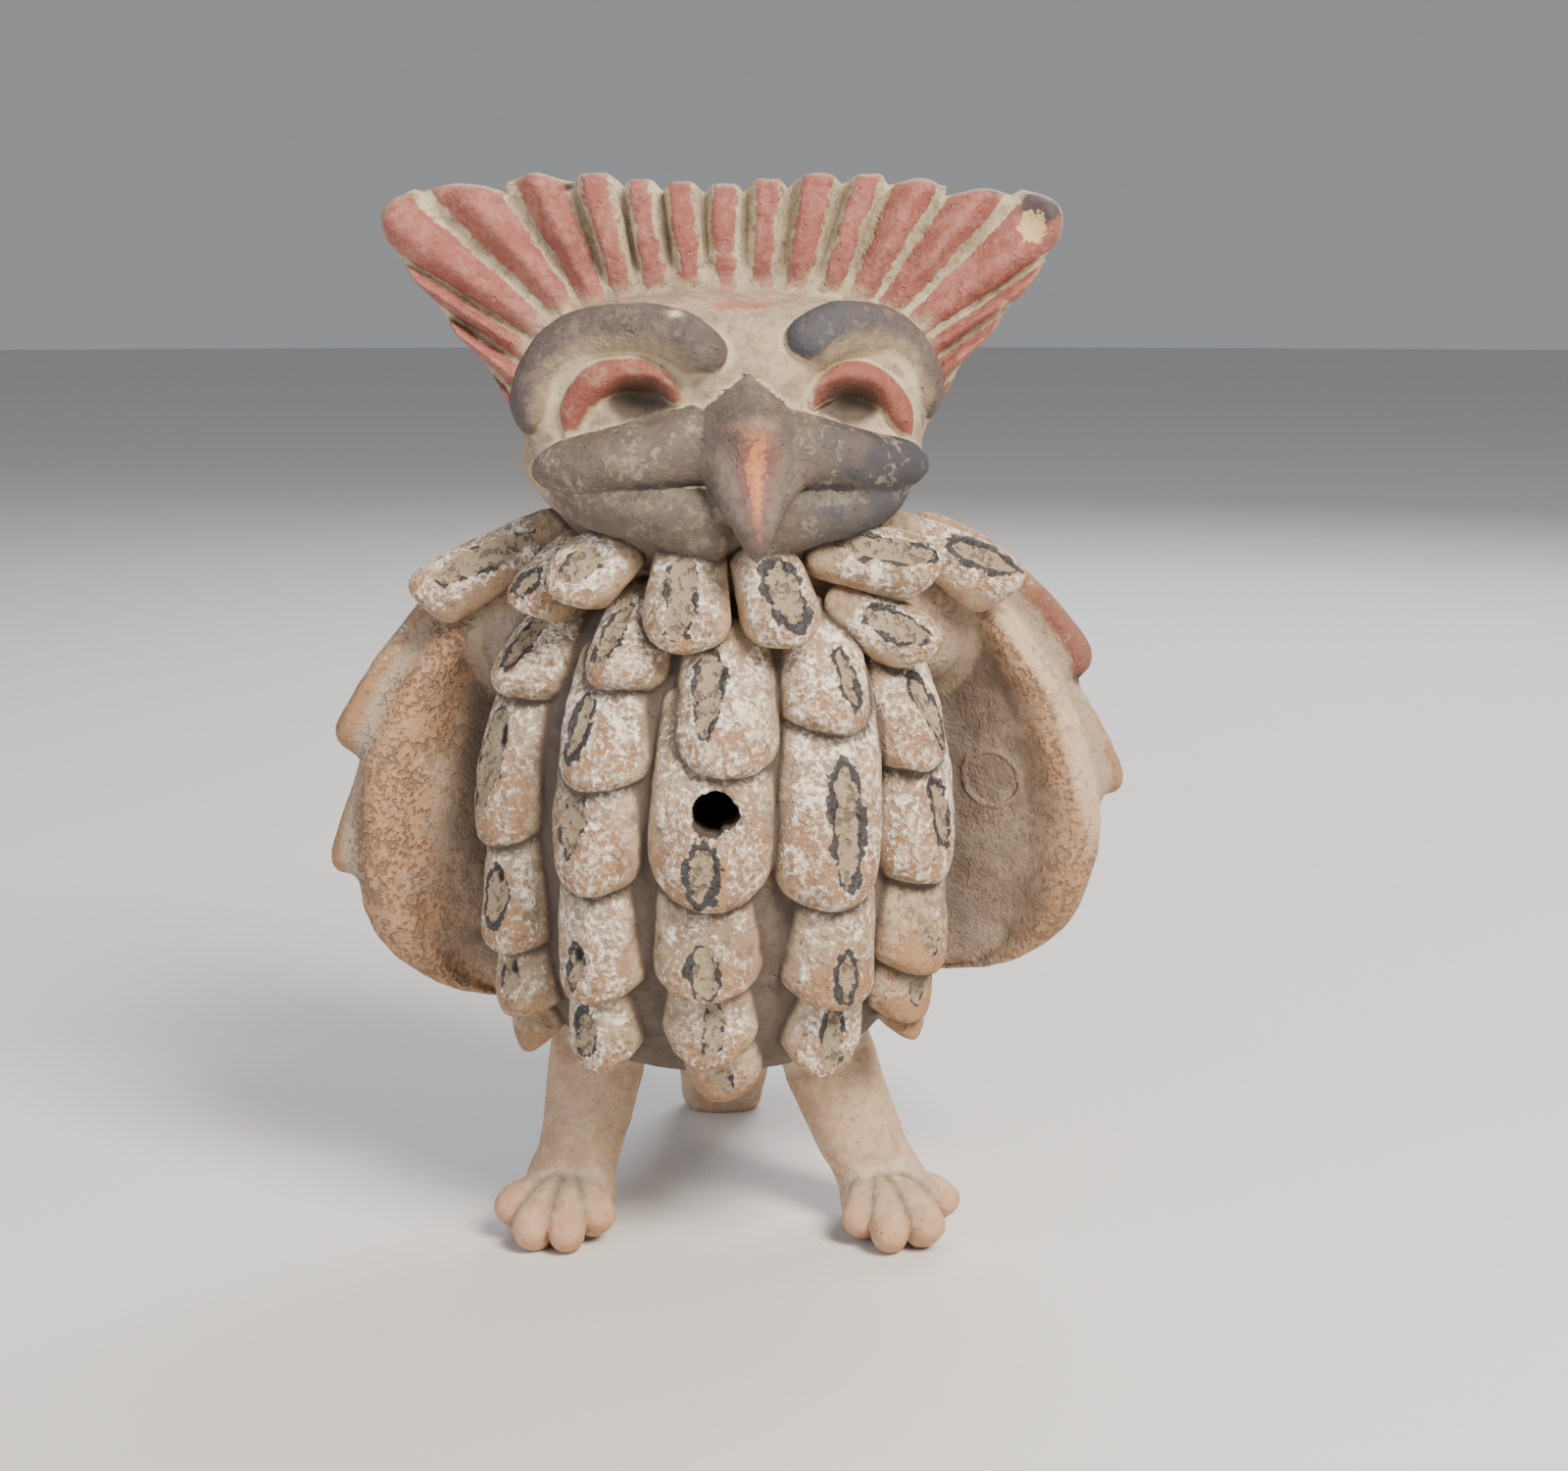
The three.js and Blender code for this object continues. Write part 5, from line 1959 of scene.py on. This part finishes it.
@dataclass(frozen=True)
class RibPaint(ClayFinish):
    """The crest's ribs, brushed with red ochre over a cream ground.

    To the eye the red is chalky and streaked, with wavy edges and browner patches. The grooves,
    the roots and chips are bare cream clay, with dark specks of dirt.
    """

    clay: FiredClay = FiredClay(light="#C0B092", dark="#9F8E74", rust_cover=0.0, dirt_and_shade_cover=0.5)
    red: str = "#8E4C42"
    pale_red: str = "#A66E60"
    dark_red: str = "#6B3F37"
    speck: str = "#5F5548"
    bare: str = "#CBAA79"
    stain: str = "#3F3B3E"

    def laid(self, coat: Coat, colour: Socket, height: Socket) -> Laid:
        """The ochre on the ribs, between the root and the rim, with its chips and stains."""
        _, _, reach = coat.chart(Chart.PLACE)
        _, inside, _ = coat.chart(Chart.WEAR)
        on_rib = coat.ragged(inside, -0.1, 0.25, (1.5, 2.4, 2.0), (0.5, 0.6, 2.0))
        from_root = coat.ragged(reach, 0.08, 0.26, (0.4, 3.0, 3.0))
        to_rim = coat.ragged(reach, 1.03, 0.95, (0.14, 2.2, 3.0))
        streaks = coat.patchy(-0.1, 0.16, (0.8, 3.0, 4.0), (0.7, 0.7, 3.0))
        browner = coat.patchy(0.04, 0.2, (0.9, 5.0, 4.0), (0.5, 0.9, 3.0))
        whole = coat.patchy(0.32, 0.18, (0.9, 2.2, 4.0), (0.6, 0.6, 2.0))
        specks = coat.patchy(0.05, 0.12, (1.0, 0.8, 3.0))
        stained = coat.ragged(coat.kept["stain"], 0.1, 0.6, (0.9, 1.2, 3.0))
        chipped = coat.ragged(coat.kept["chip"], 0.45, 0.55, (1.4, 1.3, 3.0), (1.0, 0.5, 3.0))
        paint = coat.overlap(on_rib, from_root, to_rim, whole, 0.95)
        tones = [(self.pale_red, streaks, 0.8), (self.dark_red, browner, 0.6)]
        layers = [
            (self.speck, specks, 0.5),
            (coat.layered(linear(self.red), tones), paint),
            (self.stain, stained, 0.9),
            (self.bare, chipped, 0.9),
            # Painted shade inside the poked hole.
            (self.clay.deep, coat.kept["hole"]),
        ]
        roughness = coat.add("MapRange", {0: paint, 3: 0.88, 4: 0.74})
        return coat.layered(colour, layers), roughness, coat.raised(height, [(0.1, paint)])


@dataclass(frozen=True)
class FaceClay(ClayFinish):
    """The face's clay, smoothed by hand.

    To the eye it is dusty with cream where the painted forms meet it, and dark under the chin. The
    pupils' hollows are painted dark as their shade.
    """

    clay: FiredClay = FiredClay(light="#B29D83", dark="#8D7A66", rust_cover=0.12, dirt_and_shade_cover=0.0)
    dust: str = "#C8B798"
    chin: str = "#5F534A"
    # The painted shade inside the pressed pupils.
    pupil: str = "#382E2A"
    smear: str = "#B06050"

    def laid(self, coat: Coat, colour: Socket, height: Socket) -> Laid:
        """The dust, the dark chin, the painted shade in the pupils, and the smear."""
        _, _, up = coat.chart(Chart.PLACE)
        dusty = coat.ragged(coat.kept["seam"], 0.6, 0.1, (0.8, 1.2, 4.0))
        chin = coat.ragged(up, -7.2, -8.0, (0.9, 1.4, 3.0))
        sunk = coat.ragged(coat.kept["hole"], 0.05, 0.6, (0.35, 1.2, 3.0))
        smear = coat.ragged(coat.kept["smear"], 0.2, 0.6, (1.2, 1.4, 3.0))
        layers = [
            (self.dust, dusty, 0.55),
            (self.chin, chin, 0.9),
            # Painted shade inside the pupils.
            (self.pupil, sunk, 0.85),
            (self.smear, smear, 0.7),
        ]
        return coat.layered(colour, layers), self.clay.roughness, height


@dataclass(frozen=True)
class FacePaint(ClayFinish):
    """Earth colour brushed on a raised form of the face, stopping short of its creases and rubbed.

    To the eye it is chalky, a little smoother than the clay and uneven in tone. Cream dust is
    left in the creases, except at the mouth, where the shade of its slit is painted dark.

    Attributes:
        bare_side: Where the paint begins across the form, from -1 to 1. Beyond 1 is nowhere.
        dusty_side: Where the dust ends across it.
        rubbed_side: Where a rubbed band begins across it.
        mouth: How much of the painted shade of the mouth's slit shows.
    """

    paint: str
    pale: str
    blue: str
    rubbed: str
    cover: float = 0.95
    rubbed_cover: float = 0.3
    bare_side: float = -2.0
    dusty_side: float = 2.0
    rubbed_side: float = 2.0
    mouth: float = 0.0
    clay: FiredClay = FiredClay(light="#A08D72", dark="#807059", rust_cover=0.1, dirt_and_shade_cover=0.0)
    dust: str = "#C6B797"
    # The painted shade of the mouth's slit.
    slit: str = "#2B2626"
    chip: str = "#D8C9A8"

    def laid(self, coat: Coat, colour: Socket, height: Socket) -> Laid:
        """The dust, the paint and where it is rubbed, painted shade at the mouth and pupils, the
        chips.
        """
        _, side, along = coat.chart(Chart.PLACE)
        _, _, blue = coat.chart(Chart.TINT)
        bare, dusty_end, rubbed_start = self.bare_side, self.dusty_side, self.rubbed_side
        on_side = coat.ragged(side, bare - 0.2, bare + 0.2, (0.5, 1.6, 3.0))
        worn_side = coat.ragged(side, dusty_end + 0.2, dusty_end - 0.2, (0.4, 1.6, 3.0))
        edge = coat.ragged(coat.kept["seam"], 0.9, 0.3, (0.9, 1.3, 4.0))
        dusty = coat.overlap(edge, worn_side)
        off_seam = coat.add("Math", 1.0, dusty, operation="SUBTRACT")
        patches = coat.patchy(-0.1, 0.2, (0.8, 3.0, 4.0), (0.5, 0.7, 2.0))
        bluer = coat.ragged(coat.overlap(along, blue), 0.3, 0.65, (0.8, 3.0, 3.0))
        rubbed = coat.patchy(0.04, 0.16, (0.8, 3.2, 4.0), (0.5, 0.8, 3.0))
        sunk = coat.ragged(coat.kept["hole"], 0.1, 0.9, (0.3, 1.2, 3.0))
        rub_grains = ((2.2, 2.6, 4.0), (1.2, 0.6, 3.0))
        band = coat.ragged(side, rubbed_start - 0.3, rubbed_start + 0.3, *rub_grains)
        # The slit of the mouth is painted dark as its shade, from the beak along part of the jaw.
        slit = coat.ragged(side, 0.66, 0.84, (0.3, 1.4, 3.0))
        at_mouth = coat.ragged(along, 0.68, 0.45, (0.25, 3.0, 2.0))
        tones = [(self.pale, patches, 0.75), (self.blue, bluer, 0.9)]
        layers = [
            (self.dust, dusty, 0.7),
            (coat.layered(linear(self.paint), tones), on_side, off_seam, self.cover),
            (self.rubbed, rubbed, self.rubbed_cover),
            (self.rubbed, band, 0.55),
            (self.slit, slit, at_mouth, self.mouth),
            # Painted shade inside the pupils, where they reach this form.
            (FaceClay.pupil, sunk, 0.8),
            (self.chip, coat.kept["chip"], 0.9),
        ]
        relief = coat.raised(height, [(0.06, on_side, off_seam)])
        return coat.layered(colour, layers), 0.76, relief


@dataclass(frozen=True)
class BeakPaint(ClayFinish):
    """The beak's dark earth colour, brushed on and rubbed through.

    To the eye it is dark and smoother than the rest, with bright orange clay along its ridge and
    reddish brown low on its sides.
    """

    clay: FiredClay = FiredClay(light="#74655B", dark="#564A43", rust_cover=0.15, dirt_and_shade_cover=0.0)
    bright: str = "#C27A4A"
    brown: str = "#70433A"
    # Where the rubbing is strongest, as a share of the way down the ridge.
    rub_middle: float = 0.66

    def laid(self, coat: Coat, colour: Socket, height: Socket) -> Laid:
        """The brown sides and the bright ridge."""
        _, _, along = coat.chart(Chart.PLACE)
        _, crown, _ = coat.chart(Chart.WEAR)
        stretch = coat.ragged(coat.away(along, self.rub_middle), 0.3, 0.1, (0.2, 2.0, 3.0))
        ridge = coat.ragged(crown, 0.95, 1.0, (0.12, 1.8, 3.0), (0.14, 0.6, 3.0))
        wide = coat.ragged(crown, 0.74, 0.97, (0.5, 2.0, 3.0))
        lower = coat.ragged(along, 0.35, 0.6, (0.3, 2.0, 3.0))
        layers = [(self.brown, wide, lower, 0.75), (self.bright, stretch, ridge, 0.9)]
        return coat.layered(colour, layers), 0.62, height


@dataclass(frozen=True)
class Whistle:
    """The whole whistle: every form, joined into one skin and dressed."""

    body: Body = Body()
    head: Head = Head()
    crest: Crest = Crest()
    collar: Collar = Collar()
    blowpipe: Blowpipe = Blowpipe()
    tone_hole: ToneHole = ToneHole()
    skin: Skin = Skin()
    wings: tuple[Wing, ...] = (
        Wing("left", -1, 47.6, 25.0),
        Wing("right", 1, 49.6, 23.8, raised=15.0, tip_red=1.0, band=0.78, pale=0.97,
             scar=(0.66, 93.0)),
    )
    legs: tuple[Leg, ...] = (
        Leg("left_leg", ((-12.5, 2, 26), (-14.6, -1, 14), (-16.6, -3, 6), (-17.8, -6.5, -0.4)), -7,
            (2.0, 1.1, 1.1, 1.7)),
        Leg("right_leg", ((8.8, 2, 26), (12, -1, 14), (15.8, -3, 6), (18, -6.5, -0.4)), 12,
            (1.5, 1.1, 1.6, 3.0)),
    )

    def materials(self) -> dict[Finish, Material]:
        """Every finish as a material."""
        makers = {
            Finish.BARE: FiredClay(),
            # Where the body shows between the petals, its dark taupe is painted shade in the gaps,
            # with some dirt.
            Finish.BODY: FiredClay("#66584D", "#4E433A", rust_cover=0.05, blends=True),
            Finish.PETAL: SlipPetal(),
            Finish.WING: WingClay(),
            Finish.RIB: RibPaint(),
            Finish.FACE: FaceClay(),
            Finish.BROW: FacePaint("#4E4240", "#6A5B53", "#3D3F48", "#8F7C66", bare_side=-0.8),
            Finish.LID: FacePaint("#844439", "#97604F", "#844439", "#A0846A", rubbed_cover=0.45),
            Finish.JAW: FacePaint("#584B43", "#74665A", "#2C303B", "#9B927A", rubbed_cover=0.5,
                                  dusty_side=-0.3, mouth=0.85),
            Finish.LIP: FacePaint("#574A42", "#6C5F53", "#363943", "#A0947B", dusty_side=-2.0,
                                  rubbed_side=0.85, mouth=0.5),
            Finish.BEAK: BeakPaint(),
            # The clay inside the hollows is painted dark as their shade.
            Finish.INSIDE: FiredClay(light="#5A4C40", dark="#43382F", rust_cover=0.0),
        }
        return {finish: maker.material(finish.value) for finish, maker in makers.items()}

    def shoulders(self) -> list[Surface]:
        """The neck and the two shoulders, which the collar and the wings hide."""
        lumps = {
            "neck": ((-0.2, 0, 72), (16, 12.5, 9)),
            "left_shoulder": ((-16, 2, 65), (12, 8.5, 9)),
            "right_shoulder": ((15.5, 2, 66), (12, 8.5, 9)),
        }
        made = []
        for name, (middle, half) in lumps.items():
            points = rounded_box(middle, half, 2.2, 32, 44)
            # They are coloured as a wing is, a little inside its band, with some of its painted
            # shade.
            grid = (*points.shape[:2], 2)
            wear = np.broadcast_to((0.6, 1.0), grid)
            charts = {Chart.PLACE: np.full(grid, 0.5), Chart.WEAR: wear}
            made.append(Surface(name, Finish.WING, points, charts, Join.MAIN))
        return made

    def raised(self) -> list[Surface]:
        """Every form that is joined to the body."""
        made = [*self.shoulders(), *self.head.surfaces(), self.crest.surface()]
        for wing in self.wings:
            made += wing.surfaces()
        made += FeatherCoat(self.body).surfaces() + self.collar.surfaces()
        for leg in self.legs:
            made += leg.surfaces()
        return [*made, self.blowpipe.tube()]

    def hollows(self) -> list[Surface]:
        """Every form that is cut out: the chamber, the holes, and the ground it stands on."""
        chamber = self.body.egg("chamber", Finish.INSIDE, -self.body.wall, 24, 36)
        slab = rounded_box((0, 5, -20), (80, 80, 20), 60, 40, 64)
        # Its slightly rounded top is made flat.
        slab[..., 2] = np.where(slab[..., 2] > -2, 0, slab[..., 2])
        ground = Surface("ground", Finish.BARE, slab)
        return [chamber, self.tone_hole.surface(), *self.blowpipe.cuts(), ground]

    @staticmethod
    def combined(base: Object, others: list, operation: str) -> Mesh:
        """Join closed meshes to a base, or cut them out of it, with their finishes kept.

        Args:
            base: The object worked on.
            others: The objects joined or cut.
            operation: UNION or DIFFERENCE.

        Returns:
            A new mesh.
        """
        group = bpy.data.collections.new("forms")
        bpy.context.scene.collection.children.link(group)
        for other in others:
            group.objects.link(other)
        knife = base.modifiers.new("combine", "BOOLEAN")
        knife.operation = operation
        knife.solver = "MANIFOLD"
        knife.operand_type = "COLLECTION"
        knife.collection = group
        knife.material_mode = "TRANSFER"
        evaluated = base.evaluated_get(bpy.context.evaluated_depsgraph_get())
        mesh = bpy.data.meshes.new_from_object(evaluated)
        base.modifiers.clear()
        bpy.data.batch_remove([*(other.data for other in others), *others, group])
        return mesh

    def build(self) -> Object:
        """Make, join, cut, work over and dress the whole whistle.

        Returns:
            The finished piece.
        """
        materials = self.materials()
        egg = self.body.egg("body", Finish.BODY, 0.0, 96, 120)
        piece = egg.build(0, materials[Finish.BODY])
        piece.name = PIECE
        bpy.context.scene.collection.objects.link(piece)
        raised, hollows = self.raised(), self.hollows()
        # The hollows' faces are numbered from where no raised form's are.
        for forms, operation, first in ((raised, "UNION", 1), (hollows, "DIFFERENCE", 500)):
            others = [form.build(i, materials[form.finish]) for i, form in enumerate(forms, first)]
            rough = piece.data
            piece.data = self.combined(piece, others, operation)
            bpy.data.meshes.remove(rough)
            LOG.info("%s of %d forms: %d faces", operation, len(forms), len(piece.data.polygons))
        mesh = piece.data
        mesh.name = PIECE
        joins = np.array([Join.MAIN.value, *(form.join.value for form in raised)])
        self.skin.work(mesh, self.head.pupils(), joins)
        points = read(mesh.vertices, "co", np.float32, 3)
        placed = (points.reshape(-1, 3) + TO_ORIGIN) * MILLIMETRE
        placed[:, 2] = np.maximum(placed[:, 2], 0)
        mesh.vertices.foreach_set("co", placed.astype(np.float32).ravel())
        mesh.polygons.foreach_set("use_smooth", np.ones(len(mesh.polygons), bool))
        mesh.update()
        triangles = sum(len(face.vertices) - 2 for face in mesh.polygons)
        LOG.info("%s: %d triangles", PIECE, triangles)
        return piece


@dataclass(frozen=True)
class Lamp:
    """A square soft light: its place and its side in metres, its watts and its colour."""

    name: str
    place: Point
    side: float
    power: float
    colour: str

    def build(self, target: Point) -> None:
        """Hang the light, turned to face the target."""
        light = bpy.data.lights.new(self.name, "AREA")
        light.size, light.energy = self.side, self.power
        light.color = linear(self.colour)[:3]
        lamp = bpy.data.objects.new(self.name, light)
        lamp.location = self.place
        x, y, z = np.array(target) - np.array(self.place)
        pitch = math.atan2(z, math.hypot(x, y)) + 0.5 * math.pi
        lamp.rotation_euler = (pitch, 0, math.atan2(y, x) - 0.5 * math.pi)
        bpy.context.scene.collection.objects.link(lamp)


@dataclass(frozen=True)
class Studio:
    """A pale floor, soft light and the camera at the photograph's viewing angle.

    The camera's target and its distance are in the forms' millimetres. What the lamps face, which
    is lit, and the floor's radius are in metres.
    """

    lens: float = 58.5
    sensor: float = 36.0
    distance: float = 270.0
    elevation: float = 10.0
    target: Point = (6.0, 0.0, 52.5)
    floor_radius: float = 4.0
    floor_sides: int = 64
    floor_colour: str = "#D8D6D2"
    sky_colour: str = "#DADCE0"
    sky_strength: float = 0.42
    lit: Point = (0.0, 0.0, 0.055)
    lamps: tuple[Lamp, ...] = (
        Lamp("key", (0.3, -0.42, 0.52), 0.26, 9.8, "#FFF6EA"),
        Lamp("fill", (-0.5, -0.42, 0.22), 0.5, 2.0, "#EAF1FF"),
        Lamp("back", (0.2, 0.5, 0.5), 0.4, 4.0, "#F4F6FF"),
    )

    def floor(self) -> None:
        """A wide, pale, matt disc of paper under the piece."""
        turn = np.linspace(0, 2 * np.pi, self.floor_sides, endpoint=False)
        ring = self.floor_radius * joined(np.cos(turn), np.sin(turn), 0.0)
        mesh = bpy.data.meshes.new("floor")
        mesh.from_pydata(ring.tolist(), [], [list(range(self.floor_sides))])
        coat = Coat("matt_paper")
        coat.finish(linear(self.floor_colour), 0.95)
        mesh.materials.append(coat.material)
        disc = bpy.data.objects.new("floor", mesh)
        bpy.context.scene.collection.objects.link(disc)

    def sky(self) -> None:
        """An even pale light from all round."""
        world = bpy.data.worlds.new("studio")
        world.use_nodes = True
        backdrop = world.node_tree.nodes["Background"]
        backdrop.inputs["Color"].default_value = linear(self.sky_colour)
        backdrop.inputs["Strength"].default_value = self.sky_strength
        bpy.context.scene.world = world

    def camera(self) -> None:
        """The camera, straight in front and a little above, looking at the piece's middle."""
        down = math.radians(self.elevation)
        back = np.array([0, -math.cos(down), math.sin(down)]) * self.distance
        view = bpy.data.cameras.new("front")
        view.lens, view.sensor_width, view.sensor_fit = self.lens, self.sensor, "HORIZONTAL"
        view.clip_start = 0.01
        seat = bpy.data.objects.new("front", view)
        seat.location = (np.array(self.target) + TO_ORIGIN + back) * MILLIMETRE
        seat.rotation_euler = (0.5 * math.pi - down, 0, 0)
        bpy.context.scene.collection.objects.link(seat)
        bpy.context.scene.camera = seat

    def build(self) -> None:
        """Set up the whole studio."""
        self.floor()
        self.sky()
        for lamp in self.lamps:
            lamp.build(self.lit)
        self.camera()


def main() -> None:
    """Build the studio and the whistle, and report the piece."""
    logging.basicConfig(level=logging.INFO, format="%(message)s")
    Studio().build()
    piece = Whistle().build()
    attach(piece, "root")
    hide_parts(NODE)
    LOG.info("%s rides on root and stands for %s", piece.name, NODE)


if __name__ == "__main__":
    main()
